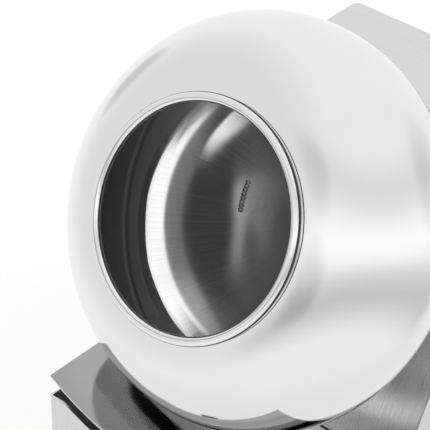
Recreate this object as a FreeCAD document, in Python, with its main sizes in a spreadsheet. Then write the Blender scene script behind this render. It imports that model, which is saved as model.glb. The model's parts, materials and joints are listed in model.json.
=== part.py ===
import FreeCAD, Part
import math
import os
import Sketcher

# Tabletop coating pan: a tilted drum turns in front of a sheet-metal cabinet, and a worm drive
# behind the sloping drive plate turns it. Millimetres, +Z up, the mouth of the drum towards -Y,
# and the floor at Z = 0. "Reach" is measured along the drum axis from the middle of the drum,
# "drop" and "rise" are measured down and up from it.

DIMENSIONS = [
    # the drum
    ("drum_radius", 200), ("knuckle_radius", 102), ("crown_angle", 25), ("drum_wall", 1.5),
    ("bead_circle", 111.5), ("bead_reach", 101.5), ("bead_diameter", 9.5),
    ("drum_tilt", 30),
    # the drum's hub and shaft
    ("hub_radius", 55), ("hub_wall", 13.3), ("shaft_flange_radius", 48), ("shaft_flange", 9),
    ("hub_bolt_circle", 36), ("hub_bolt_count", 6), ("hub_bolt_depth", 8),
    ("shaft_radius", 15), ("wheel_seat_radius", 12.5), ("collar_radius", 20), ("collar_width", 4),
    ("seal_radius", 24), ("seal_width", 5.6), ("seal_gap", 0.4),
    # the cabinet
    ("half_width", 140), ("front_reach", 146), ("back_reach", 319), ("shoulder_drop", 195),
    ("deck_drop", 265), ("base_depth", 95), ("top_rise", 41), ("sheet_wall", 2),
    ("post_depth", 45), ("back_bend", 8), ("front_bend", 3), ("sheet_fit", 0.2),
    ("plate_wall", 3), ("opening_half", 105), ("opening_top", 0), ("opening_drop", 300),
    ("cover_lap", 14),
    ("cover_wall", 1.5), ("louvre_half", 70), ("louvre_width", 4), ("louvre_pitch", 13),
    ("louvre_count", 6), ("louvre_drop", 250), ("cover_screw_inset", 6),
    ("cover_screw_radius", 2), ("cover_screw_head", 4), ("cover_screw_rise", 2.5),
    # the tray and its cradle
    ("tray_radius", 255), ("tray_rise", 43), ("tray_wall", 1.5), ("tray_length", 125),
    ("tray_inset", 1), ("tray_gap", 12), ("rib_half", 108), ("rib_wall", 3), ("rib_gap", 0.3),
    ("rib_setback", 10), ("rib_spacing", 56),
    # feet
    ("foot_radius", 16), ("foot_height", 20), ("foot_inset", 30), ("foot_recess", 7),
    ("foot_recess_depth", 10), ("foot_bolt_radius", 3), ("foot_bolt_head", 5.5),
    ("foot_bolt_rise", 8), ("bolt_fit", 0.2),
    # bearing housing
    ("housing_flange_radius", 60), ("housing_flange", 8), ("housing_radius", 37),
    ("housing_length", 26), ("housing_lip", 2), ("housing_lip_bore", 22), ("spigot_radius", 36),
    ("spigot_length", 12), ("bearing_radius", 31), ("bearing_width", 16), ("race_wall", 4),
    ("cage_gap", 0.4), ("cage_width", 11),
    ("drive_bolt_circle", 50), ("drive_bolt_radius", 4), ("drive_bolt_head", 6.5),
    ("drive_bolt_rise", 8), ("drive_bolt_depth", 18), ("spacer_radius", 8),
    # worm reducer
    ("motor_gap", 7), ("gear_module", 2.5), ("tooth_count", 30), ("worm_pitch_radius", 12.5),
    ("wheel_width", 18), ("wheel_hub_radius", 24), ("wheel_hub_length", 40), ("tooth_play", 0.5),
    ("key_width", 8), ("key_rise", 3), ("key_depth", 4), ("key_length", 32),
    ("case_radius", 58), ("case_half", 34), ("case_front_wall", 10), ("case_cavity", 43.5),
    ("case_shaft_gap", 1.5), ("tunnel_radius", 26), ("tunnel_bore", 17), ("tunnel_top", 58),
    ("tunnel_end_wall", 6), ("bush_length", 14), ("case_cover", 6), ("case_screw_circle", 51),
    ("case_screw_radius", 2.5), ("case_screw_head", 4.5), ("case_screw_rise", 4),
    ("case_screw_depth", 12), ("washer_radius", 18), ("washer_wall", 4), ("shaft_end_gap", 2),
    ("end_bolt_radius", 4), ("end_bolt_head", 6.5), ("end_bolt_rise", 6), ("end_bolt_depth", 22),
    # motor
    ("worm_shaft_radius", 9), ("running_gap", 0.08), ("motor_radius", 50), ("motor_wall", 4),
    ("fin_height", 3), ("fin_width", 3), ("fin_count", 19), ("fin_sweep", 270),
    ("flange_wall", 12), ("motor_length", 100), ("end_bell_wall", 10), ("stator_length", 70),
    ("rotor_radius", 27.5), ("air_gap", 0.5), ("fan_gap", 4), ("fan_width", 14),
    ("fan_hub_radius", 17), ("fan_radius", 44), ("fan_blade_wall", 3), ("fan_blade_count", 8),
    ("fan_cover_length", 27), ("fan_cover_wall", 1.5), ("grille_circle", 27),
    ("grille_radius", 8), ("grille_count", 8), ("terminal_width", 44), ("terminal_length", 56),
    ("terminal_rise", 26), ("terminal_step", 20),
    # controls on the front wall
    ("control_drop", 312), ("rocker_side", -92), ("lamp_side", -48), ("knob_side", 0),
    ("start_side", 54), ("stop_side", 96),
    ("rocker_half_width", 10), ("rocker_half_height", 13), ("rocker_frame", 4),
    ("rocker_lip", 2), ("rocker_depth", 18), ("rocker_gap", 1.2), ("rocker_side_gap", 0.3),
    ("rocker_rise", 3.5), ("rocker_dip", 1.5), ("rocker_sole", 7),
    ("lamp_radius", 6), ("lamp_lip", 8), ("lamp_rise", 3), ("lamp_depth", 16),
    ("knob_radius", 17), ("knob_rise", 19), ("knob_skirt", 20), ("knob_skirt_rise", 4),
    ("knob_gap", 0.5), ("knob_flutes", 10), ("flute_radius", 4), ("spindle_radius", 3),
    ("spindle_grip", 13), ("bush_radius", 5), ("pot_radius", 12), ("pot_depth", 16),
    ("button_radius", 10.5), ("button_gap", 0.4), ("button_rise", 6), ("button_depth", 9),
    ("button_travel", 3), ("bezel_radius", 15.5), ("bezel_rise", 4), ("bezel_sleeve", 13),
    ("bezel_stop", 2), ("switch_depth", 24), ("hole_fit", 0.2),
    # control board and mains inlet
    ("board_width", 130), ("board_depth", 76), ("board_wall", 1.6), ("board_setback", 62),
    ("standoff_radius", 4), ("standoff_rise", 12), ("standoff_inset", 7),
    ("sink_width", 60), ("sink_depth", 20), ("sink_rise", 26), ("capacitor_radius", 11),
    ("capacitor_rise", 30), ("inlet_drop", 334), ("inlet_half_width", 14),
    ("inlet_half_height", 10), ("inlet_flange", 7), ("inlet_rise", 2.4), ("inlet_depth", 26),
    ("inlet_wall", 2), ("inlet_socket", 17), ("pin_half_width", 1), ("pin_half_height", 2),
    ("pin_spread", 7),
]

doc = FreeCAD.newDocument("coating_pan")
sheet = doc.addObject("Spreadsheet::Sheet", "sheet")


class Size:
    """A number that keeps the sheet formula it comes from."""

    def __init__(self, value, text):
        self.value = float(value)
        self.text = text

    def __add__(self, other):
        other = as_size(other)
        return Size(self.value + other.value, "(%s + %s)" % (self.text, other.text))

    def __sub__(self, other):
        other = as_size(other)
        return Size(self.value - other.value, "(%s - %s)" % (self.text, other.text))

    def __mul__(self, other):
        other = as_size(other)
        return Size(self.value * other.value, "(%s * %s)" % (self.text, other.text))

    def __truediv__(self, other):
        other = as_size(other)
        return Size(self.value / other.value, "(%s / %s)" % (self.text, other.text))

    def __neg__(self):
        return Size(-self.value, "(0 - %s)" % self.text)


def as_size(number):
    return number if isinstance(number, Size) else Size(number, repr(float(number)))


def sine(angle):
    return Size(math.sin(math.radians(angle.value)), "sin(%s)" % angle.text)


def cosine(angle):
    return Size(math.cos(math.radians(angle.value)), "cos(%s)" % angle.text)


def arc_tangent(number):
    return Size(math.degrees(math.atan(number.value)), "atan(%s)" % number.text)


def root(number):
    return Size(math.sqrt(number.value), "sqrt(%s)" % number.text)


class Table:
    """The driving dimensions, one attribute each."""


dim = Table()
for row, (alias, number) in enumerate(DIMENSIONS, start=1):
    sheet.set("A%d" % row, alias)
    sheet.set("B%d" % row, str(number))
    sheet.setAlias("B%d" % row, alias)
    setattr(dim, alias, Size(number, "sheet.%s" % alias))
doc.recompute()

ZERO = as_size(0)
TILT_SINE = sine(dim.drum_tilt)
TILT_COSINE = cosine(dim.drum_tilt)
ACROSS = dim.half_width * 3
INNER_HALF = dim.half_width - dim.sheet_wall - dim.sheet_fit
BOTTOM_DROP = dim.deck_drop + dim.base_depth
DRUM_HEIGHT = BOTTOM_DROP + dim.foot_height

# Half of what the cover screws stand behind the drum more than the knob stands before it puts the
# origin under the middle of the machine.
FRONT_END = dim.front_reach + dim.knob_gap + dim.knob_rise
BACK_END = dim.back_reach + dim.cover_wall + dim.cover_screw_rise
DRUM_SHIFT = (FRONT_END - BACK_END) / 2

# The knuckle of the drum is an arc round a circle of this radius; the crown of its back is a
# larger arc, tangent to the knuckle, round a point on the axis.
KNUCKLE_CENTRE = dim.drum_radius - dim.knuckle_radius
CROWN_CENTRE = KNUCKLE_CENTRE * cosine(dim.crown_angle) / sine(dim.crown_angle)
CROWN_RADIUS = dim.knuckle_radius + KNUCKLE_CENTRE / sine(dim.crown_angle)

# Along the axis behind the drum: hub disc, shaft flange, collar, seal, bearing housing, drive
# plate, and then the motor and the reducer clear of the plate.
HUB_REACH = CROWN_RADIUS - CROWN_CENTRE + dim.hub_wall
SHAFT_FLANGE_BACK = HUB_REACH + dim.shaft_flange
SEAL_FRONT = SHAFT_FLANGE_BACK + dim.collar_width
HOUSING_NOSE = SEAL_FRONT + dim.seal_width + dim.seal_gap
PLATE_REACH = HOUSING_NOSE + dim.housing_length
PLATE_BACK = PLATE_REACH + dim.plate_wall
GEAR_REACH = PLATE_BACK + dim.motor_gap + dim.motor_radius + dim.fin_height


def set_size(item, name, size):
    setattr(item, name, size.value)
    item.setExpression(name, size.text)


def new_body(label):
    body = doc.addObject("PartDesign::Body", label)
    body.Label = label
    return body


def origin_item(body, role):
    return [item for item in body.Origin.OriginFeatures if item.Role == role][0]


def place(item, side, back, up, turn=None):
    rotation = FreeCAD.Rotation(FreeCAD.Vector(1, 0, 0), turn.value if turn else 0)
    item.Placement = FreeCAD.Placement(FreeCAD.Vector(side.value, back.value, up.value), rotation)
    item.setExpression("Placement.Base.x", side.text)
    item.setExpression("Placement.Base.y", back.text)
    item.setExpression("Placement.Base.z", up.text)
    if turn:
        item.setExpression("Placement.Rotation.Angle", turn.text)
    return item


def at_centre(item):
    """Level frame with its origin in the middle of the drum."""
    return place(item, ZERO, DRUM_SHIFT, DRUM_HEIGHT)


def on_axis(item, reach, side=ZERO):
    """Frame of the drum axis: local Z runs to the mouth, local Y up along the drive plate."""
    back = DRUM_SHIFT - reach * TILT_COSINE
    up = DRUM_HEIGHT + reach * TILT_SINE
    return place(item, side, back, up, as_size(90) - dim.drum_tilt)


def new_sketch(body, plane, offset=None, lean=None):
    sketch = body.newObject("Sketcher::SketchObject", body.Name + "_sketch")
    sketch.AttachmentSupport = (origin_item(body, plane + "_Plane"), [""])
    sketch.MapMode = "FlatFace"
    if lean:
        axis = FreeCAD.Vector(1, 0, 0)
        sketch.AttachmentOffset = FreeCAD.Placement(FreeCAD.Vector(), FreeCAD.Rotation(axis, lean.value))
        sketch.setExpression("AttachmentOffset.Rotation.Angle", lean.text)
    if offset:
        sketch.setExpression("AttachmentOffset.Base.z", offset.text)
    return sketch


def fix_point(sketch, geometry, point, across, up):
    for kind, axis, size in (("DistanceX", -2, across), ("DistanceY", -1, up)):
        if abs(size.value) < 1e-9:
            sketch.addConstraint(Sketcher.Constraint("PointOnObject", geometry, point, axis))
        else:
            rule = Sketcher.Constraint(kind, -1, 1, geometry, point, size.value)
            sketch.setExpression("Constraints[%d]" % sketch.addConstraint(rule), size.text)


def fix_radius(sketch, geometry, radius):
    index = sketch.addConstraint(Sketcher.Constraint("Radius", geometry, radius.value))
    sketch.setExpression("Constraints[%d]" % index, radius.text)


def arc_between(start, end, radius, turn):
    """Arc of under half a circle; turn is 1 where its centre lies to the left of the way."""
    chord = end - start
    rise = math.sqrt(max(radius ** 2 - (chord.Length / 2) ** 2, 0.0))
    left = FreeCAD.Vector(-chord.y, chord.x, 0).normalize()
    centre = (start + end) * 0.5 + left * (rise * turn)
    circle = Part.Circle(centre, FreeCAD.Vector(0, 0, 1), radius)
    first, last = (start, end) if turn > 0 else (end, start)
    angles = [math.atan2(point.y - centre.y, point.x - centre.x) for point in (first, last)]
    return Part.ArcOfCircle(circle, angles[0], angles[1])


def outline(sketch, corners):
    """Closed outline. A corner is (across, up), or (across, up, radius, turn) where an arc leaves it."""
    points = [FreeCAD.Vector(corner[0].value, corner[1].value, 0) for corner in corners]
    edges = []
    for place_in_row, corner in enumerate(corners):
        start = points[place_in_row]
        end = points[(place_in_row + 1) % len(points)]
        if len(corner) == 2:
            edges.append((sketch.addGeometry(Part.LineSegment(start, end)), 1, 2))
        else:
            arc = arc_between(start, end, corner[2].value, corner[3])
            ends = (1, 2) if corner[3] > 0 else (2, 1)
            edges.append((sketch.addGeometry(arc),) + ends)
    for (edge, head, tail), (following, next_head, _) in zip(edges, edges[1:] + edges[:1]):
        sketch.addConstraint(Sketcher.Constraint("Coincident", edge, tail, following, next_head))
    for (edge, head, _), corner in zip(edges, corners):
        fix_point(sketch, edge, head, corner[0], corner[1])
        if len(corner) > 2:
            fix_radius(sketch, edge, corner[2])


def rectangle(sketch, left, right, low, high):
    outline(sketch, [(left, low), (right, low), (right, high), (left, high)])


def rounded(sketch, left, right, low, high, low_bend, high_bend):
    """Rectangle with one corner radius along its low edge and one along its high edge."""
    outline(sketch, [
        (left + low_bend, low), (right - low_bend, low, low_bend, 1),
        (right, low + low_bend), (right, high - high_bend, high_bend, 1),
        (right - high_bend, high), (left + high_bend, high, high_bend, 1),
        (left, high - high_bend), (left, low + low_bend, low_bend, 1),
    ])


def circles(sketch, rings):
    for across, up, radius in rings:
        centre = FreeCAD.Vector(across.value, up.value, 0)
        index = sketch.addGeometry(Part.Circle(centre, FreeCAD.Vector(0, 0, 1), radius.value))
        fix_radius(sketch, index, radius)
        fix_point(sketch, index, 3, across, up)


def pad(body, sketch, length, reverse=False, both=False):
    feature = body.newObject("PartDesign::Pad", body.Name + "_pad")
    feature.Profile = sketch
    feature.Reversed = reverse
    feature.SideType = "Symmetric" if both else "One side"
    set_size(feature, "Length", length)
    return feature


def pocket(body, sketch, length, reverse=False, both=False):
    feature = body.newObject("PartDesign::Pocket", body.Name + "_pocket")
    feature.Profile = sketch
    feature.Reversed = reverse
    feature.SideType = "Symmetric" if both else "One side"
    set_size(feature, "Length", length)
    return feature


def turn_about(body, plane, corners):
    sketch = new_sketch(body, plane)
    outline(sketch, corners)
    feature = body.newObject("PartDesign::Revolution", body.Name + "_turn")
    feature.Profile = sketch
    feature.ReferenceAxis = (sketch, ["V_Axis"])
    feature.Angle = 360
    return body


def turned(label, corners):
    """Piece turned about local Z, from (radius, height) corners."""
    return turn_about(new_body(label), "XZ", corners)


def turned_on_worm(label, corners):
    """Piece turned about the worm axis, which is local Y, from (radius, height) corners."""
    body = turn_about(new_body(label), "XY", corners)
    return on_axis(body, -GEAR_REACH, CENTRE_DISTANCE)


def ring(inner, outer, low, high):
    return [(inner, low), (outer, low), (outer, high), (inner, high)]


def spread_round(body, feature, count, sweep=None, role="Z_Axis"):
    pattern = body.newObject("PartDesign::PolarPattern", body.Name + "_round")
    pattern.Originals = [feature]
    pattern.Axis = (origin_item(body, role), [""])
    set_size(pattern, "Angle", sweep if sweep else as_size(360))
    pattern.setExpression("Occurrences", count.text)
    body.Tip = pattern
    return pattern


def stack(label, centres, levels, plane="XY"):
    """Like pieces side by side: at each centre, one cylinder per (radius, from, to) level."""
    body = new_body(label)
    for radius, start, end in levels:
        sketch = new_sketch(body, plane, start)
        circles(sketch, [(across, up, radius) for across, up in centres])
        pad(body, sketch, end - start)
    return body


def drill(body, centres, radius, start, end, plane="XY"):
    sketch = new_sketch(body, plane, end)
    circles(sketch, [(across, up, radius) for across, up in centres])
    return pocket(body, sketch, end - start)


def corners_of(left, right, low, high):
    return [(left, low), (right, low), (right, high), (left, high)]


def around(circle, count, first=0.0):
    """Centres evenly spread on a bolt circle, counted from the first angle in degrees."""
    angles = [math.radians(first + 360.0 * number / count) for number in range(count)]
    return [(circle * math.cos(angle), circle * math.sin(angle)) for angle in angles]


def plate_line(rise):
    """How far behind the drum's middle the face of the drive plate is at a height."""
    return (PLATE_REACH + rise * TILT_SINE) / TILT_COSINE


def tray_level(radius, across):
    return dim.tray_rise - root(radius * radius - across * across)


CUT_RADIUS = dim.tray_radius + dim.tray_gap
PITCH_RADIUS = dim.gear_module * dim.tooth_count / 2
CENTRE_DISTANCE = PITCH_RADIUS + dim.worm_pitch_radius
WHEEL_RADIUS = PITCH_RADIUS + dim.gear_module
WORM_RADIUS = dim.worm_pitch_radius + dim.gear_module
DRIVE_CENTRES = around(dim.drive_bolt_circle, 4, 45.0)
CASE_CENTRES = around(dim.case_screw_circle, 6, 30.0)
WHEEL_FRONT = GEAR_REACH - dim.wheel_hub_length / 2
WHEEL_BACK = GEAR_REACH + dim.wheel_hub_length / 2
BEARING_FRONTS = [
    HOUSING_NOSE + dim.housing_lip,
    PLATE_REACH + dim.spigot_length - dim.bearing_width,
]
MOTOR_TOP = dim.tunnel_top
HOUSING_TOP = MOTOR_TOP + dim.flange_wall
HOUSING_LOW = HOUSING_TOP + dim.motor_length
BELL_LOW = HOUSING_LOW + dim.end_bell_wall
FAN_TOP = BELL_LOW + dim.fan_gap
FAN_LOW = FAN_TOP + dim.fan_width
STATOR_TOP = HOUSING_TOP + (dim.motor_length - dim.stator_length) / 2
STATOR_LOW = STATOR_TOP + dim.stator_length
FOOT_CENTRES = corners_of(
    dim.foot_inset - dim.half_width, dim.half_width - dim.foot_inset,
    dim.foot_inset - dim.front_reach, dim.back_reach - dim.foot_inset,
)
BOARD_CENTRES = corners_of(
    dim.standoff_inset - dim.board_width / 2, dim.board_width / 2 - dim.standoff_inset,
    dim.board_setback - dim.front_reach + dim.standoff_inset,
    dim.board_setback - dim.front_reach + dim.board_depth - dim.standoff_inset,
)
COVER_HALF = dim.opening_half + dim.cover_lap
COVER_LOW = -(dim.opening_drop + dim.cover_lap)
COVER_HIGH = dim.opening_top + dim.cover_lap
COVER_MIDDLE = (COVER_LOW + COVER_HIGH) / 2
COVER_CENTRES = [
    (across, up)
    for across in (dim.cover_screw_inset - COVER_HALF, COVER_HALF - dim.cover_screw_inset)
    for up in (COVER_LOW + dim.cover_screw_inset, COVER_MIDDLE, COVER_HIGH - dim.cover_screw_inset)
]
WALL_FACE = dim.front_reach
WALL_INSIDE = dim.front_reach - dim.sheet_wall
CONTROL_LEVEL = -dim.control_drop
BEZEL_DEPTH = dim.button_depth + dim.button_travel + dim.bezel_stop
BUTTON_SIDES = [dim.start_side, dim.stop_side]


def chassis_shell():
    """Front wall, both sides and back wall, bent from one sheet and notched for the drum."""
    body = at_centre(new_body("chassis_shell"))
    wall = dim.sheet_wall
    plan = new_sketch(body, "XY", -BOTTOM_DROP)
    rounded(plan, -dim.half_width, dim.half_width, -dim.front_reach, dim.back_reach,
            dim.front_bend, dim.back_bend)
    rounded(plan, wall - dim.half_width, dim.half_width - wall, wall - dim.front_reach,
            dim.back_reach - wall, dim.front_bend - wall, dim.back_bend - wall)
    pad(body, plan, BOTTOM_DROP + dim.top_rise - wall)
    notch = new_sketch(body, "YZ")
    outline(notch, [
        (-dim.front_reach * 2, -dim.shoulder_drop),
        (dim.post_depth - dim.front_reach, -dim.shoulder_drop),
        (dim.post_depth - dim.front_reach, -dim.deck_drop),
        (plate_line(-dim.deck_drop), -dim.deck_drop),
        (plate_line(dim.top_rise), dim.top_rise),
        (-dim.front_reach * 2, dim.top_rise),
    ])
    pocket(body, notch, ACROSS, both=True)
    saddle = new_sketch(body, "XZ")
    circles(saddle, [(ZERO, dim.tray_rise, CUT_RADIUS)])
    pocket(body, saddle, ACROSS, reverse=True)
    service = new_sketch(body, "XZ")
    rectangle(service, -dim.opening_half, dim.opening_half, -dim.opening_drop, dim.opening_top)
    inlet_width = dim.inlet_half_width + dim.hole_fit
    inlet_height = dim.inlet_half_height + dim.hole_fit
    rectangle(service, -inlet_width, inlet_width,
              -dim.inlet_drop - inlet_height, inlet_height - dim.inlet_drop)
    circles(service, [(across, up, dim.cover_screw_radius) for across, up in COVER_CENTRES])
    pocket(body, service, ACROSS)
    controls = new_sketch(body, "XZ")
    rocker_width = dim.rocker_half_width + dim.rocker_frame / 2 + dim.hole_fit
    rocker_height = dim.rocker_half_height + dim.rocker_frame / 2 + dim.hole_fit
    rectangle(controls, dim.rocker_side - rocker_width, dim.rocker_side + rocker_width,
              CONTROL_LEVEL - rocker_height, CONTROL_LEVEL + rocker_height)
    circles(controls, [
        (dim.lamp_side, CONTROL_LEVEL, dim.lamp_radius + dim.hole_fit),
        (dim.knob_side, CONTROL_LEVEL, dim.bush_radius + dim.hole_fit),
    ])
    circles(controls, [
        (side, CONTROL_LEVEL, dim.bezel_sleeve + dim.hole_fit) for side in BUTTON_SIDES
    ])
    pocket(body, controls, ACROSS, reverse=True)
    return body


def base_plate():
    """Floor of the cabinet, between its walls."""
    body = at_centre(new_body("base_plate"))
    inset = dim.sheet_wall + dim.sheet_fit
    plan = new_sketch(body, "XY", -BOTTOM_DROP)
    rounded(plan, -INNER_HALF, INNER_HALF, inset - dim.front_reach, dim.back_reach - inset,
            dim.back_bend, dim.back_bend)
    pad(body, plan, dim.sheet_wall)
    drill(body, FOOT_CENTRES, dim.foot_bolt_radius + dim.bolt_fit,
          -BOTTOM_DROP, dim.sheet_wall - BOTTOM_DROP)
    return body


def deck_pan():
    """Deck under the drum, with the wall that closes the front post behind."""
    body = at_centre(new_body("deck_pan"))
    wall = dim.sheet_wall
    front = dim.front_bend + dim.sheet_fit - dim.front_reach
    post = dim.post_depth - dim.front_reach
    foot = plate_line(-dim.deck_drop)
    side = new_sketch(body, "YZ")
    outline(side, [
        (front, -dim.deck_drop - wall), (foot, -dim.deck_drop - wall),
        (foot, -dim.deck_drop), (post, -dim.deck_drop),
        (post, -dim.shoulder_drop), (post - wall, -dim.shoulder_drop),
        (post - wall, -dim.deck_drop), (front, -dim.deck_drop),
    ])
    pad(body, side, INNER_HALF * 2, both=True)
    saddle = new_sketch(body, "XZ")
    circles(saddle, [(ZERO, dim.tray_rise, CUT_RADIUS)])
    pocket(body, saddle, ACROSS, reverse=True)
    return body


def drive_plate():
    """Sloping plate square to the drum axis; it carries the bearing housing and the reducer."""
    body = on_axis(new_body("drive_plate"), -PLATE_REACH)
    low = (PLATE_BACK * TILT_SINE - dim.deck_drop) / TILT_COSINE
    high = (dim.top_rise - dim.sheet_wall + PLATE_REACH * TILT_SINE) / TILT_COSINE
    face = new_sketch(body, "XY", -dim.plate_wall)
    rectangle(face, -INNER_HALF, INNER_HALF, low, high)
    circles(face, [(ZERO, ZERO, dim.spigot_radius + dim.hole_fit)])
    circles(face, [
        (across, up, dim.drive_bolt_radius + dim.bolt_fit) for across, up in DRIVE_CENTRES
    ])
    pad(body, face, dim.plate_wall)
    return body


def top_cover():
    """Flat lid of the cabinet, from the drive plate to the back wall."""
    body = at_centre(new_body("top_cover"))
    front = plate_line(dim.top_rise - dim.sheet_wall)
    plan = new_sketch(body, "XY", dim.top_rise - dim.sheet_wall)
    outline(plan, [
        (-dim.half_width, front), (dim.half_width, front),
        (dim.half_width, dim.back_reach - dim.back_bend, dim.back_bend, 1),
        (dim.half_width - dim.back_bend, dim.back_reach),
        (dim.back_bend - dim.half_width, dim.back_reach, dim.back_bend, 1),
        (-dim.half_width, dim.back_reach - dim.back_bend),
    ])
    pad(body, plan, dim.sheet_wall)
    return body


def rear_cover():
    """Screwed service cover with a row of cooling slots."""
    body = at_centre(new_body("rear_cover"))
    face = new_sketch(body, "XZ", -dim.back_reach)
    rectangle(face, -COVER_HALF, COVER_HALF, COVER_LOW, COVER_HIGH)
    circles(face, [
        (across, up, dim.cover_screw_radius + dim.bolt_fit) for across, up in COVER_CENTRES
    ])
    pad(body, face, dim.cover_wall, reverse=True)
    half_slot = dim.louvre_width / 2
    slot = new_sketch(body, "XZ", -dim.back_reach)
    outline(slot, [
        (-dim.louvre_half, -dim.louvre_drop - half_slot),
        (dim.louvre_half, -dim.louvre_drop - half_slot, half_slot, 1),
        (dim.louvre_half + half_slot, -dim.louvre_drop, half_slot, 1),
        (dim.louvre_half, half_slot - dim.louvre_drop),
        (-dim.louvre_half, half_slot - dim.louvre_drop, half_slot, 1),
        (-dim.louvre_half - half_slot, -dim.louvre_drop, half_slot, 1),
    ])
    cut = pocket(body, slot, dim.cover_wall)
    rows = body.newObject("PartDesign::LinearPattern", "rear_cover_slots")
    rows.Originals = [cut]
    rows.Direction = (origin_item(body, "Z_Axis"), [""])
    set_size(rows, "Length", dim.louvre_pitch * (dim.louvre_count - 1))
    rows.setExpression("Occurrences", dim.louvre_count.text)
    body.Tip = rows
    return body


def cover_screws():
    under = -dim.back_reach - dim.cover_wall
    body = at_centre(stack("cover_screws", COVER_CENTRES, [
        (dim.cover_screw_head, under - dim.cover_screw_rise, under),
        (dim.cover_screw_radius, under, dim.sheet_wall - dim.back_reach),
    ], "XZ"))
    return body


def cradle_ribs():
    """Two upright ribs on the deck with hollow tops, in which the tray lies and slides."""
    body = at_centre(new_body("cradle_ribs"))
    radius = dim.tray_radius + dim.tray_wall + dim.rib_gap
    level = tray_level(radius, dim.rib_half)
    front = dim.front_reach - dim.post_depth - dim.rib_setback
    for reach in (front, front - dim.rib_spacing):
        face = new_sketch(body, "XZ", reach - dim.rib_wall)
        outline(face, [
            (-dim.rib_half, -dim.deck_drop), (dim.rib_half, -dim.deck_drop),
            (dim.rib_half, level, radius, -1), (-dim.rib_half, level),
        ])
        pad(body, face, dim.rib_wall)
    return body


def catch_tray():
    """Hollow sheet under the drum that catches syrup and dust; it slides out to the front."""
    body = at_centre(new_body("catch_tray"))
    outer = dim.tray_radius + dim.tray_wall
    front = dim.front_reach - dim.tray_inset
    face = new_sketch(body, "XZ", front - dim.tray_length)
    outline(face, [
        (-dim.half_width, tray_level(outer, dim.half_width), outer, 1),
        (dim.half_width, tray_level(outer, dim.half_width)),
        (dim.half_width, tray_level(dim.tray_radius, dim.half_width), dim.tray_radius, -1),
        (-dim.half_width, tray_level(dim.tray_radius, dim.half_width)),
    ])
    pad(body, face, dim.tray_length)
    return body


def rubber_feet():
    body = at_centre(stack("rubber_feet", FOOT_CENTRES, [
        (dim.foot_radius, -DRUM_HEIGHT, -BOTTOM_DROP),
    ]))
    drill(body, FOOT_CENTRES, dim.foot_recess, -DRUM_HEIGHT, dim.foot_recess_depth - DRUM_HEIGHT)
    drill(body, FOOT_CENTRES, dim.foot_bolt_radius + dim.bolt_fit, -DRUM_HEIGHT, -BOTTOM_DROP)
    return body


def foot_bolts():
    """Bolts up through the feet, each with its nut on the base plate."""
    seat = dim.foot_recess_depth - DRUM_HEIGHT
    nut = dim.sheet_wall - BOTTOM_DROP
    return at_centre(stack("foot_bolts", FOOT_CENTRES, [
        (dim.foot_bolt_head, seat - dim.foot_bolt_radius, seat),
        (dim.foot_bolt_radius, seat, nut + dim.foot_bolt_rise),
        (dim.foot_bolt_head, nut, nut + dim.foot_bolt_radius * 1.5),
    ]))


def bearing_housing():
    """Flanged housing on the drive plate, with a spigot through it."""
    body = on_axis(turned("bearing_housing", [
        (dim.housing_lip_bore, dim.housing_length), (dim.housing_radius, dim.housing_length),
        (dim.housing_radius, dim.housing_flange), (dim.housing_flange_radius, dim.housing_flange),
        (dim.housing_flange_radius, ZERO), (dim.spigot_radius, ZERO),
        (dim.spigot_radius, -dim.spigot_length), (dim.bearing_radius, -dim.spigot_length),
        (dim.bearing_radius, dim.housing_length - dim.housing_lip),
        (dim.housing_lip_bore, dim.housing_length - dim.housing_lip),
    ]), -PLATE_REACH)
    drill(body, DRIVE_CENTRES, dim.drive_bolt_radius + dim.bolt_fit, ZERO, dim.housing_flange)
    return body


def bearing_rings(label, inner, outer, width):
    """One ring in each of the two bearings, centred in the bearing's width."""
    body = on_axis(new_body(label), ZERO)
    for front in BEARING_FRONTS:
        face = new_sketch(body, "XY", -front - (dim.bearing_width + width) / 2)
        circles(face, [(ZERO, ZERO, outer), (ZERO, ZERO, inner)])
        pad(body, face, width)
    return body


def drive_bolts():
    """Long bolts through the housing flange, the plate and the spacers into the reducer."""
    seat = dim.housing_flange - PLATE_REACH
    return on_axis(stack("drive_bolts", DRIVE_CENTRES, [
        (dim.drive_bolt_head, seat, seat + dim.drive_bolt_rise),
        (dim.drive_bolt_radius, dim.case_half - GEAR_REACH - dim.drive_bolt_depth, seat),
    ]), ZERO)


def drive_spacers():
    low = dim.case_half - GEAR_REACH
    body = on_axis(stack("drive_spacers", DRIVE_CENTRES, [(dim.spacer_radius, low, -PLATE_BACK)]), ZERO)
    drill(body, DRIVE_CENTRES, dim.drive_bolt_radius + dim.bolt_fit, low, -PLATE_BACK)
    return body


def gearbox_case():
    """Reducer case: a drum round the wheel, open at the back, and a tunnel for the worm."""
    body = on_axis(new_body("gearbox_case"), -GEAR_REACH)
    drum = new_sketch(body, "XY", -dim.case_half)
    circles(drum, [(ZERO, ZERO, dim.case_radius)])
    pad(body, drum, dim.case_half * 2)
    tunnel = new_sketch(body, "XZ", -dim.tunnel_top)
    circles(tunnel, [(CENTRE_DISTANCE, ZERO, dim.tunnel_radius)])
    pad(body, tunnel, dim.tunnel_top * 2)
    drill(body, [(ZERO, ZERO)], dim.case_cavity, -dim.case_half, dim.case_half - dim.case_front_wall)
    drill(body, [(ZERO, ZERO)], dim.shaft_radius + dim.case_shaft_gap,
          dim.case_half - dim.case_front_wall, dim.case_half)
    drill(body, [(CENTRE_DISTANCE, ZERO)], dim.tunnel_bore,
          dim.tunnel_end_wall - dim.tunnel_top, dim.tunnel_top, "XZ")
    drill(body, DRIVE_CENTRES, dim.drive_bolt_radius, dim.case_half - dim.drive_bolt_depth, dim.case_half)
    drill(body, CASE_CENTRES, dim.case_screw_radius, -dim.case_half, dim.case_screw_depth - dim.case_half)
    return body


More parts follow.
